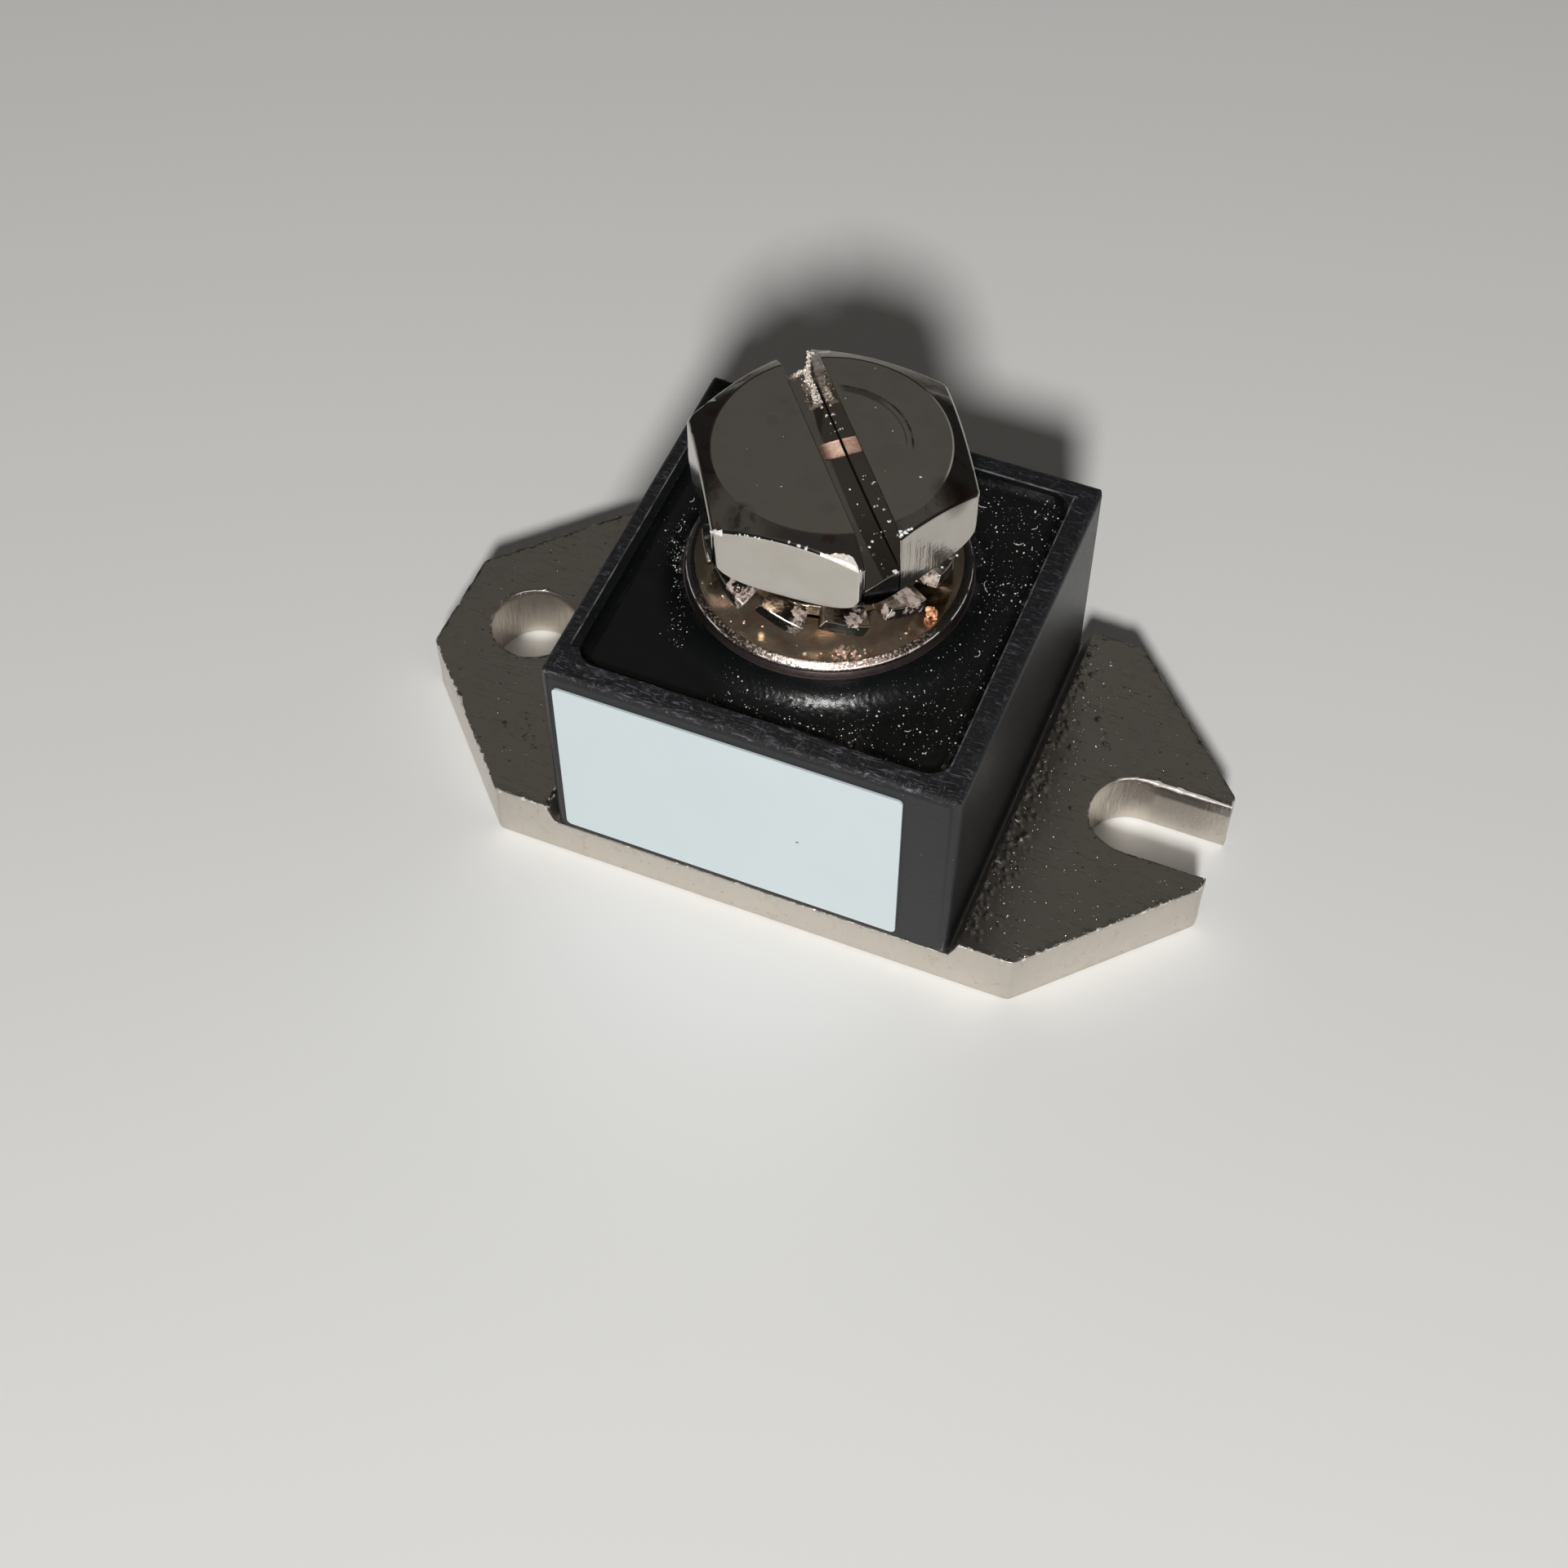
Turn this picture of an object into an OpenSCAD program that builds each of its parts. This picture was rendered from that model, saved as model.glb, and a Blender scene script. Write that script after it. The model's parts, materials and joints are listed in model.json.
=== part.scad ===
// Single-diode power module: a plated base plate that is one contact, a square moulded
// frame potted round the semiconductor stack, and a round top terminal with its screw.
// Millimetres. The origin is under the terminal's axis, on the base plate's bottom face.
// +X points to the open fixing slot, -Y to the labelled side and +Z up.

/* [Base plate] */
// Thickness of the plate at its ears
plate_t = 3.1; // [2.6:0.1:4.5]
// Amount by which the plate stands proud of the frame on each side
plate_margin = 0.075; // [0.05:0.025:2]
// Length of the plate that keeps its full width past the frame, at each end
ear_shoulder = 2.975; // [1.5:0.025:4]
// Distance between the round hole's centre and the closed end of the slot
fixing_pitch = 30.15; // [28:0.05:34]
// Distance from each of these centres to the plate's end
ear_end = 3.975; // [3.4:0.025:5]
// Diameter of the round fixing hole
hole_d = 4.1; // [3.2:0.05:4.6]
// Width of the open fixing slot
slot_w = 4.15; // [3.2:0.05:4.6]
// Width of the tip of each tine beside the slot
tine_w = 0.625; // [0.5:0.025:1.2]
// Rounding of the plate's outer corners
plate_corner_r = 0.5; // [0.2:0.05:0.8]
// Depth of the coined seat across the plate
seat_depth = 1.05; // [0.5:0.05:1.4]
// Run of the sloping step at each end of the seat
seat_run = 0.45; // [0.2:0.05:0.9]
// Gap between the frame and the foot of each step
seat_gap = 0.05; // [0.02:0.01:0.3]

/* [Moulded frame] */
// Outer side of the square frame
frame_s = 19.05; // [18:0.05:21]
// Wall thickness of the frame
frame_wall = 1.14; // [0.8:0.02:1.6]
// Rounding of the frame's inner corners
frame_inner_r = 1; // [0.7:0.05:1.8]
// Rounding of the frame's outer upright edges
frame_outer_r = 0.5; // [0.2:0.05:1]
// Rounding of the frame's top outer edge
frame_top_r = 0.4; // [0.1:0.05:0.8]
// Thickness of the adhesive under the frame
seal_t = 0.1; // [0.05:0.01:0.3]

/* [Semiconductor stack] */
// Side of the square die
die_s = 10.2; // [7:0.1:13]
// Thickness of the die
die_t = 0.35; // [0.2:0.01:0.6]
// Side of the square buffer plate
buffer_s = 9.4; // [6.5:0.1:12]
// Thickness of the buffer plate
buffer_t = 0.8; // [0.5:0.05:1.2]
// Thickness of each solder layer
solder_t = 0.1; // [0.05:0.01:0.2]
// Inset of a solder layer from the edge of the smaller piece that it joins
solder_inset = 0.2; // [0:0.05:0.6]

/* [Contact strap] */
// Width of the folded copper strap
strap_w = 8; // [5:0.1:10]
// Length of the strap's flat legs
strap_l = 8.4; // [6:0.1:9]
// Thickness of the strap
strap_t = 0.6; // [0.3:0.05:0.9]
// Height of the folded strap
strap_h = 3.3; // [2.6:0.05:3.6]

/* [Terminal] */
// Diameter of the terminal's disc
disc_d = 12.74; // [11.8:0.02:13.4]
// Thickness of the disc
disc_t = 1.3; // [1:0.05:1.8]
// Rounding of the disc's top edge
disc_edge_r = 0.5; // [0.2:0.05:0.8]
// Diameter of the post below the disc
post_d = 9.6; // [9:0.1:11]
// Height of the disc's top over the frame's rim
disc_rise = 1.3; // [0.9:0.05:1.8]
// Chamfer round the foot of the post
post_chamfer = 0.5; // [0.2:0.05:0.8]
// Width of the post's anchoring groove
groove_w = 1.2; // [0.6:0.1:2]
// Depth of the anchoring groove
groove_depth = 0.5; // [0.2:0.05:0.8]
// Thickness of metal left below the tapped hole
tapped_floor = 1; // [0.6:0.05:2]
// Gap between the screw's tip and the bottom of the tapped hole
tip_gap = 0.42; // [0.2:0.02:1]
// Run of the countersink at the mouth of the tapped hole
mouth_chamfer = 0.35; // [0.1:0.05:0.6]

/* [Potting] */
// Height of the gel over the terminal's foot
gel_cover = 0.5; // [0.2:0.05:1.2]
// Distance from the frame's rim down to the resin's flat ring
resin_drop = 0.7; // [0.7:0.05:1.2]
// Radius of the resin's rise against the frame
wall_fillet = 0.6; // [0.3:0.05:0.65]
// Height of the disc's rim that the resin's rise covers
collar_grip = 0.65; // [0.4:0.05:0.8]

/* [Label] */
// Thickness of the blank label
label_t = 0.1; // [0.05:0.01:0.2]
// Rounding of the label's corners
label_corner_r = 0.25; // [0.1:0.05:1]
// Distance from the label to the frame's side that faces -X
label_left = 0.63; // [0.55:0.01:4]
// Distance from the label to the frame's side that faces +X
label_right = 2.47; // [0.55:0.01:4]
// Distance from the label to the frame's bottom
label_below = 0.25; // [0.2:0.05:2]
// Distance from the label to the frame's rim
label_above = 0.85; // [0.5:0.05:2]

/* [Terminal screw] */
// Thread's outer diameter
thread_d = 6.35; // [5.5:0.05:6.8]
// Thread pitch
thread_pitch = 1.27; // [0.9:0.01:1.3]
// Radial gap between the screw and the tapped hole
thread_gap = 0.02; // [0.01:0.01:0.1]
// Length of the screw under its head
screw_l = 9.53; // [9:0.05:12]
// Length of the plain neck under the head
neck_l = 2.2; // [1.8:0.05:2.4]
// Depth of the neck below the thread's crests
neck_cut = 0.475; // [0.4:0.025:0.7]
// Distance across the head's flats
head_flats = 11.11; // [10:0.01:12]
// Height of the head
head_h = 3.55; // [3.2:0.05:4.2]
// Width of the head's top chamfer at the middle of a flat
head_chamfer = 0.58; // [0.3:0.02:1]
// Rounding of the head's lower corners
head_foot_r = 0.9; // [0.4:0.05:1.2]
// Depth by which the head's upright edges are worn back from sharp corners
head_edge_cut = 0.07; // [0.02:0.01:0.2]
// Turn of the head about its axis, in degrees
head_turn = 2.5; // [0:0.5:60]
// Gap between the disc and the underside of the head
head_standoff = 3.45; // [3:0.05:3.6]
// Width of the driver slot
driver_w = 1.68; // [1.2:0.02:2]
// Depth of the driver slot at its middle
driver_depth = 2.45; // [1.2:0.05:2.6]
// Radius of the saw that cuts the slot
driver_saw_r = 60; // [30:1:100]
// Offset of the slot from the axis
driver_offset = 0.22; // [0:0.02:0.4]
// Direction of the slot from +X, in degrees
driver_turn = 129.5; // [100:0.5:160]

/* [Lock washer] */
// Number of teeth
washer_teeth = 12; // [8:1:14]
// Diameter over the teeth
washer_d = 11.7; // [11:0.05:12.2]
// Diameter at the roots of the teeth
washer_root_d = 8.9; // [8.2:0.05:9.4]
// Radial gap between the washer's hole and the screw's neck
washer_gap = 0.2; // [0.1:0.02:0.3]
// Thickness of the washer's strip
washer_t = 0.6; // [0.4:0.05:0.8]
// Width of a tooth at its root
tooth_root_w = 1.6; // [1.2:0.05:1.8]
// Width of a tooth at its tip
tooth_tip_w = 2.45; // [1.8:0.05:2.6]
// Twist of a tooth from its root to its tip, in degrees
tooth_twist = 32; // [10:1:38]
// Direction of the first tooth from +X, in degrees
tooth_turn = -4; // [-15:0.5:15]

/* [Hidden] */
// Heights of the joints in the stack, from the seat up to the terminal
seat_z = plate_t - seat_depth;
die_z = seat_z + solder_t;
buffer_z = die_z + die_t + solder_t;
strap_z = buffer_z + buffer_t + solder_t;
terminal_z = strap_z + strap_h + solder_t;
// The screw's reach sets the height of the terminal, whose disc sets the frame's rim
terminal_h = tapped_floor + tip_gap + screw_l - head_standoff;
disc_top_z = terminal_z + terminal_h;
disc_under_z = disc_top_z - disc_t;
rim_z = disc_top_z - disc_rise;
// Bottom, height and inner size of the frame
frame_z = seat_z + seal_t;
frame_h = rim_z - frame_z;
cavity_s = frame_s - 2 * frame_wall;
// Heights of the gel and of the resin's flat ring, and the resin's rise against the disc
gel_z = terminal_z + gel_cover;
resin_z = rim_z - resin_drop;
collar_fillet = disc_under_z + collar_grip - resin_z;
// Size of the label and the middle of its lower edge
label_w = frame_s - label_left - label_right;
label_h = frame_h - label_below - label_above;
label_x = (label_left - label_right) / 2;
// Heights of the screw's head, shoulder and tip
head_z = disc_top_z + head_standoff;
shoulder_z = head_z - neck_l;
tip_z = head_z - screw_l;
// Radii of the thread, whose depth follows its pitch, and of the neck
thread_r = thread_d / 2;
thread_depth = 0.61 * thread_pitch;
root_r = thread_r - thread_depth;
neck_r = thread_r - neck_cut;
washer_bore_r = neck_r + washer_gap;
// Radii of the head's worn corners and flat top, and the drop of its chamfer between them
head_corner_r = head_flats / 2 / cos(30) - head_edge_cut;
head_top_r = head_flats / 2 - head_chamfer;
head_chamfer_deg = 30;
chamfer_drop = (head_corner_r - head_top_r) * tan(head_chamfer_deg);
// Distances from the middle of the plate to its fixing centres, ends, shoulders and sides
fixing_x = fixing_pitch / 2;
plate_x = fixing_x + ear_end;
shoulder_x = frame_s / 2 + ear_shoulder;
plate_y = frame_s / 2 + plate_margin;
end_y = slot_w / 2 + tine_w;
seat_x = frame_s / 2 + seat_gap;
// Room by which a cutting shape overruns the faces that it cuts
over = 1;
// Steps along a twisted tooth, and straight sides round it
tooth_slices = 6;
tooth_sides = 4;
$fn = 72;

// Unit vector along v
function unit(v) = v / norm(v);

// Half of the angle inside the corner p of a convex outline, between the points a and b
function half_angle(a, p, b) = acos(unit(a - p) * unit(b - p)) / 2;

// Convex outline whose corners are all rounded by the radius r
module rounded_outline(points, r) {
  n = len(points);
  polygon([
    for (i = [0 : n - 1])
      for (side = [-1, 1])
        let (
          p = points[i],
          a = points[(i + n - 1) % n],
          b = points[(i + 1) % n],
          towards = side < 0 ? a : b
        )
        p + unit(towards - p) * r / tan(half_angle(a, p, b))
  ]);
  for (i = [0 : n - 1]) {
    p = points[i];
    a = points[(i + n - 1) % n];
    b = points[(i + 1) % n];
    bisector = unit(unit(a - p) + unit(b - p));
    translate(p + bisector * r / sin(half_angle(a, p, b)))
      circle(r);
  }
}

// Rectangle about the origin with rounded corners
module rounded_rect(w, h, r) {
  rounded_outline([[-w, -h] / 2, [w, -h] / 2, [w, h] / 2, [-w, h] / 2], r);
}

// Rectangle that stands on the first axis, with only its two top corners rounded
module round_topped_rect(w, h, r) {
  translate([-w / 2, 0])
    square([w, h - r]);
  translate([-w / 2 + r, 0])
    square([w - 2 * r, h]);
  for (x = [-1, 1])
    translate([x * (w / 2 - r), h - r])
      circle(r);
}

// Square plate about the axis
module square_plate(s, t, z) {
  translate([-s / 2, -s / 2, z])
    cube([s, s, t]);
}

// Solder under a piece: set in from the smaller of the two faces that it joins
module solder_layer(face_w, face_l, z) {
  w = face_w - 2 * solder_inset;
  l = face_l - 2 * solder_inset;
  color("#b9bcc0")
    translate([-w / 2, -l / 2, z])
      cube([w, l, solder_t]);
}

// Base plate: a stamped lozenge with a round hole, an open slot and a coined seat

module plate_plan() {
  difference() {
    rounded_outline([
      [-plate_x, -end_y], [-shoulder_x, -plate_y], [shoulder_x, -plate_y], [plate_x, -end_y],
      [plate_x, end_y], [shoulder_x, plate_y], [-shoulder_x, plate_y], [-plate_x, end_y]
    ], plate_corner_r);
    translate([-fixing_x, 0])
      circle(d = hole_d);
    translate([fixing_x, 0])
      circle(d = slot_w);
    translate([fixing_x, -slot_w / 2])
      square([ear_end + over, slot_w]);
  }
}

// Section of the seat's cut along the plate: a flat floor with a sloping step at each end
module seat_section() {
  slope = seat_run / seat_depth;
  polygon([
    [-seat_x, seat_z],
    [seat_x, seat_z],
    [seat_x + seat_run + over * slope, plate_t + over],
    [-seat_x - seat_run - over * slope, plate_t + over]
  ]);
}

module base_plate() {
  color("#8d857a")
    difference() {
      linear_extrude(plate_t)
        plate_plan();
      rotate([90, 0, 0])
        linear_extrude(2 * (plate_y + over), center = true)
          seat_section();
    }
}

// Semiconductor stack, soldered from the seat up

module die_solder() {
  solder_layer(die_s, die_s, seat_z);
}

module schottky_die() {
  color("#4c5058")
    square_plate(die_s, die_t, die_z);
}

module upper_solder() {
  side = min(die_s, buffer_s);
  solder_layer(side, side, die_z + die_t);
}

module buffer_plate() {
  color("#9a9a98")
    square_plate(buffer_s, buffer_t, buffer_z);
}

module strap_solder() {
  solder_layer(min(strap_l, buffer_s), min(strap_w, buffer_s), buffer_z + buffer_t);
}

// Folded strap seen from the side: two flat legs joined by a half-round bend
module strap_section() {
  bend_r = strap_h / 2;
  for (y = [0, strap_h - strap_t])
    translate([-strap_l / 2, y])
      square([strap_l, strap_t]);
  translate([strap_l / 2, bend_r])
    difference() {
      circle(bend_r);
      circle(bend_r - strap_t);
      translate([-bend_r - over, -bend_r - over])
        square([bend_r + over, 2 * (bend_r + over)]);
    }
}

module contact_strap() {
  color("#b87352")
    translate([0, 0, strap_z])
      rotate([90, 0, 0])
        linear_extrude(strap_w, center = true)
          strap_section();
}

module terminal_solder() {
  solder_layer(min(strap_l, foot_square()), min(strap_w, foot_square()), terminal_z - solder_t);
}

// Side of the square that fits on the round foot of the post
function foot_square() = (post_d - 2 * post_chamfer) * sqrt(0.5);

// Terminal: a turned post with an anchoring groove, under a disc with a rounded edge

module terminal_profile() {
  r = disc_d / 2;
  groove_z = (terminal_z + disc_under_z) / 2 + groove_w / 2;
  difference() {
    polygon([
      [0, terminal_z],
      [post_d / 2 - post_chamfer, terminal_z],
      [post_d / 2, terminal_z + post_chamfer],
      [post_d / 2, disc_under_z + over],
      [0, disc_under_z + over]
    ]);
    translate([post_d / 2 - groove_depth, groove_z])
      square([groove_depth + over, groove_w]);
  }
  translate([0, disc_under_z])
    square([r, disc_t - disc_edge_r]);
  translate([0, disc_under_z])
    square([r - disc_edge_r, disc_t]);
  translate([r - disc_edge_r, disc_top_z - disc_edge_r])
    circle(disc_edge_r);
}

module terminal_blank() {
  rotate_extrude()
    terminal_profile();
}

module terminal() {
  bore_r = thread_r + thread_gap;
  color("#6f6459")
    difference() {
      terminal_blank();
      translate([0, 0, tip_z - tip_gap])
        cylinder(h = terminal_h, r = bore_r);
      translate([0, 0, disc_top_z - mouth_chamfer])
        cylinder(h = mouth_chamfer + over, r1 = bore_r, r2 = bore_r + mouth_chamfer + over);
    }
}

// Moulded frame and what fills it

// Prism that fills the inside of the frame between two heights
module cavity(low_z, high_z) {
  translate([0, 0, low_z])
    linear_extrude(high_z - low_z)
      rounded_rect(cavity_s, cavity_s, frame_inner_r);
}

module frame_adhesive() {
  color("#2a2a2c")
    difference() {
      translate([0, 0, seat_z])
        linear_extrude(seal_t)
          rounded_rect(frame_s, frame_s, frame_outer_r);
      cavity(seat_z - over, frame_z + over);
    }
}

// Outer form of the frame: three crossing extrusions round its upright and its top edges
module frame_block() {
  intersection() {
    translate([0, 0, frame_z])
      linear_extrude(frame_h)
        rounded_rect(frame_s, frame_s, frame_outer_r);
    for_each_side()
      linear_extrude(frame_s + 2 * over, center = true)
        round_topped_rect(frame_s, frame_h, frame_top_r);
  }
}

// Crosses two copies of an upright extrusion, one along each horizontal axis
module for_each_side() {
  intersection_for (turn = [0, 90])
    rotate([0, 0, turn])
      translate([0, 0, frame_z])
        rotate([90, 0, 0])
          children();
}

module housing_frame() {
  color("#1c1d20")
    difference() {
      frame_block();
      cavity(frame_z - over, rim_z + over);
    }
}

module silicone_gel() {
  color("#c9cdd0", 0.6)
    difference() {
      cavity(seat_z, gel_z);
      die_solder();
      schottky_die();
      upper_solder();
      buffer_plate();
      strap_solder();
      contact_strap();
      terminal_solder();
      terminal_blank();
    }
}

// Concave rise of the resin, seen from the side: it ends at the distance r from the axis
module rise_section(r, size) {
  difference() {
    translate([r, 0])
      square(size);
    translate([r + size, size])
      circle(size);
  }
}

// Rise of the resin along the frame's four walls and round its inner corners
module wall_rise() {
  half = cavity_s / 2;
  straight = half - frame_inner_r;
  translate([0, 0, resin_z])
    for (turn = [0 : 90 : 270])
      rotate([0, 0, turn]) {
        translate([half, straight, 0])
          rotate([90, 0, 0])
            linear_extrude(2 * straight)
              mirror([1, 0])
                rise_section(0, wall_fillet);
        translate([straight, straight, 0])
          rotate_extrude(angle = 90)
            translate([frame_inner_r, 0])
              mirror([1, 0])
                rise_section(0, wall_fillet);
      }
}

// Rise of the resin against the rim of the disc
module collar_rise() {
  translate([0, 0, resin_z])
    rotate_extrude()
      rise_section(disc_d / 2, collar_fillet);
}

module potting_resin() {
  color("#101114")
    difference() {
      union() {
        cavity(gel_z, resin_z);
        wall_rise();
        intersection() {
          collar_rise();
          cavity(gel_z, rim_z + over);
        }
        translate([0, 0, resin_z - over])
          cylinder(h = over + collar_fillet, d = disc_d);
      }
      terminal_blank();
      translate([0, 0, disc_under_z])
        cylinder(h = disc_t + over, d = disc_d);
    }
}

// Blank film on the side of the frame that faces -Y
module label() {
  color("#dfe6ea")
    translate([label_x, -frame_s / 2, frame_z + label_below + label_h / 2])
      rotate([90, 0, 0])
        linear_extrude(label_t)
          rounded_rect(label_w, label_h, label_corner_r);
}

// Lock washer: a flat ring whose outer teeth are each twisted out of its plane

// One tooth along +X: its side that faces +Y turns down towards the tip
module washer_tooth() {
  start = (washer_root_d / 2 + washer_bore_r) / 2;
  length = washer_d / 2 - start + over / 2;
  intersection() {
    translate([start, 0, 0])
      rotate([90, 0, 90])
        linear_extrude(length, twist = tooth_twist, scale = [tooth_tip_w / tooth_root_w, 1],
                       slices = tooth_slices, segments = tooth_sides)
          square([tooth_root_w, washer_t], center = true);
    cylinder(h = washer_d, d = washer_d, center = true);
  }
}

module lock_washer() {
  color("#a08c7a")
    translate([0, 0, shoulder_z + washer_t / 2]) {
      difference() {
        cylinder(h = washer_t, d = washer_root_d, center = true);
        cylinder(h = washer_t + over, r = washer_bore_r, center = true);
      }
      for (i = [0 : washer_teeth - 1])
        rotate([0, 0, tooth_turn + i * 360 / washer_teeth])
          washer_tooth();
    }
}

// Terminal screw: a slotted hexagon head on a threaded shank

// Section that trims the hexagon: a sloping chamfer above and a rounded corner below
module head_section() {
  r = head_corner_r;
  foot = head_foot_r;
  polygon([
    [0, 0],
    [r - foot, 0],
    [r - foot, foot],
    [r, foot],
    [r, head_h - chamfer_drop],
    [head_top_r, head_h],
    [0, head_h]
  ]);
  translate([r - foot, foot])
    circle(foot);
}

module head_blank() {
  rotate([0, 0, head_turn])
    intersection() {
      cylinder(h = head_h, d = head_flats / cos(30), $fn = 6);
      // turned so that the seam of the revolved form is clear of the upright edges
      rotate([0, 0, 15])
        rotate_extrude()
          head_section();
    }
}

// Cut of the driver slot: the saw's round edge leaves a floor that is deepest in the middle
module driver_cut() {
  rotate([0, 0, driver_turn])
    translate([0, -driver_offset, head_h - driver_depth + driver_saw_r])
      rotate([90, 0, 0])
        cylinder(h = driver_w, r = driver_saw_r, center = true, $fn = 360);
}

// Section of the threaded length: the root cylinder with a V ridge at every pitch
module thread_section() {
  ridges = ceil((shoulder_z - tip_z) / thread_pitch);
  flat = thread_pitch / 8;
  half_base = flat / 2 + thread_depth * tan(30);
  translate([0, tip_z])
    square([root_r, shoulder_z - tip_z]);
  for (i = [0 : ridges - 1])
    translate([0, shoulder_z - flat / 2 - i * thread_pitch])
      polygon([
        [0, half_base],
        [root_r, half_base],
        [thread_r, flat / 2],
        [thread_r, -flat / 2],
        [root_r, -half_base],
        [0, -half_base]
      ]);
}

// Envelope of the thread: a flat shoulder at its top and a tip bevelled down to its root
module thread_envelope() {
  translate([0, 0, tip_z])
    cylinder(h = thread_depth, r1 = root_r, r2 = thread_r);
  translate([0, 0, tip_z + thread_depth])
    cylinder(h = shoulder_z - tip_z - thread_depth, r = thread_r);
}

module shank() {
  translate([0, 0, shoulder_z - over / 2])
    cylinder(h = neck_l + over / 2, r = neck_r);
  intersection() {
    rotate_extrude()
      thread_section();
    thread_envelope();
  }
}

module terminal_screw() {
  color("#8a7f74") {
    translate([0, 0, head_z])
      difference() {
        head_blank();
        driver_cut();
      }
    shank();
  }
}

base_plate();
die_solder();
schottky_die();
upper_solder();
buffer_plate();
strap_solder();
contact_strap();
terminal_solder();
terminal();
frame_adhesive();
housing_frame();
silicone_gel();
potting_resin();
label();
lock_washer();
terminal_screw();
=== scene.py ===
"""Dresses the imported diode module: refined pieces, procedural materials, studio light and camera."""
import json
import math
import random
from functools import partialmethod

import bmesh
import bpy
import numpy as np
from mathutils import Matrix, Vector, noise
from mathutils.geometry import delaunay_2d_cdt

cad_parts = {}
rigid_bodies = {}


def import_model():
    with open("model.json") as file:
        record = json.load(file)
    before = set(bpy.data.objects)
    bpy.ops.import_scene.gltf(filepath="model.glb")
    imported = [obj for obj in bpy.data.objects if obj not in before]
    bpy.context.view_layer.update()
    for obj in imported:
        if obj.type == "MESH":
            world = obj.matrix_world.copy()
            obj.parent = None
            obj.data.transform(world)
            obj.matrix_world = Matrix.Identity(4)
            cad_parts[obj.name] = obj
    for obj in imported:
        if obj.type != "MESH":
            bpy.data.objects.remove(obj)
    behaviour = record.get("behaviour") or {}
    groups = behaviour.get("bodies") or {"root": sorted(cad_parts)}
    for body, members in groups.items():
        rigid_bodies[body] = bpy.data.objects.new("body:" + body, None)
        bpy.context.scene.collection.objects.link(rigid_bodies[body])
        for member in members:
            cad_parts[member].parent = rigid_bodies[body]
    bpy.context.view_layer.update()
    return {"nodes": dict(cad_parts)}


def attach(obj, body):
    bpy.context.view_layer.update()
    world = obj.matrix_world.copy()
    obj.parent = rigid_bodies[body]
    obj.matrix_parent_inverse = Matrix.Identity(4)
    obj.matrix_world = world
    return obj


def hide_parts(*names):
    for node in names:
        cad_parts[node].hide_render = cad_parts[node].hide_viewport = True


for leftover in list(bpy.data.objects):
    bpy.data.objects.remove(leftover)
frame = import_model()
nodes = frame["nodes"]

MM, PER_METRE = 0.001, 1000

# Sizes of the CAD solids that the pieces below follow, in millimetres and degrees
PLATE_TOP, SEAT_TOP = 3.1, 2.05
STEP_FOOT, STEP_HEAD = 9.575, 10.025
CAVITY, CAVITY_R = 8.385, 1.0
RIM_Z, RESIN_Z, GEL_Z = 13.1, 12.4, 7.4
WALL_RISE, COLLAR_RISE = 0.6, 1.35
DISC_R, DISC_UNDER, DISC_TOP = 6.37, 13.1, 14.4
POST_R, GROOVE_R, GROOVE_Z = 4.8, 4.3, (10.6, 11.8)
BORE_R, BORE_FLOOR, MOUTH_R, MOUTH_Z = 3.195, 7.9, 3.545, 14.05
SLOT_TURN, SLOT_OFFSET, SLOT_HALF = 129.5, 0.22, 0.84
SLOT_FLOOR, SAW_R = 18.95, 60.0
HEAD_TOP, HEAD_FLAT, CROWN_R, HEAD_TURN = 21.4, 5.555, 4.975, 2.5
TEETH, TOOTH_TURN = 12, 121.5
DUST_ROOM = 0.03  # the head is this much lower than its solid, so that dust on it stays in the solid's box


# Materials

def put(value, socket):
    """Links a socket, or sets a constant."""
    value = getattr(value, "socket", value)
    if isinstance(value, bpy.types.NodeSocket):
        socket.id_data.links.new(value, socket)
    else:
        socket.default_value = value


def new_node(tree, kind, inputs=(), **settings):
    """A node with its settings made, and its inputs linked or set by name or number."""
    made = tree.nodes.new(kind)
    for key, value in settings.items():
        setattr(made, key, value)
    for key, value in dict(inputs).items():
        put(value, made.inputs[key])
    return made


class Value:
    """A value in a material's node tree, with arithmetic; | is the larger of two masks."""

    def __init__(self, surface, socket):
        self.surface, self.socket = surface, socket

    def combined(self, operation, *others):
        return self.surface.math(operation, self, *others)

    __add__ = partialmethod(combined, "ADD")
    __sub__ = partialmethod(combined, "SUBTRACT")
    __mul__ = partialmethod(combined, "MULTIPLY")
    __truediv__ = partialmethod(combined, "DIVIDE")
    __or__ = partialmethod(combined, "MAXIMUM")
    __abs__ = partialmethod(combined, "ABSOLUTE")

    def __rsub__(self, other):
        return self.surface.math("SUBTRACT", other, self)

    def step(self, low, high):
        """0 below low, 1 above high, smooth between; falls where low is the larger."""
        falls = low > high
        inputs = {"Value": self, "From Min": min(low, high), "From Max": max(low, high),
                  "To Min": int(falls), "To Max": int(not falls)}
        made = self.surface.node("ShaderNodeMapRange", inputs, interpolation_type="SMOOTHSTEP")
        return Value(self.surface, made.outputs[0])

    def band(self, middle, outer, inner):
        """1 within inner of the middle, falling to 0 at outer."""
        return abs(self - middle).step(outer, inner)

    def to(self, low, high):
        """Carries 0..1 onto low..high."""
        made = self.surface.node("ShaderNodeMapRange", {"Value": self, "To Min": low, "To Max": high})
        return Value(self.surface, made.outputs[0])


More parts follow.
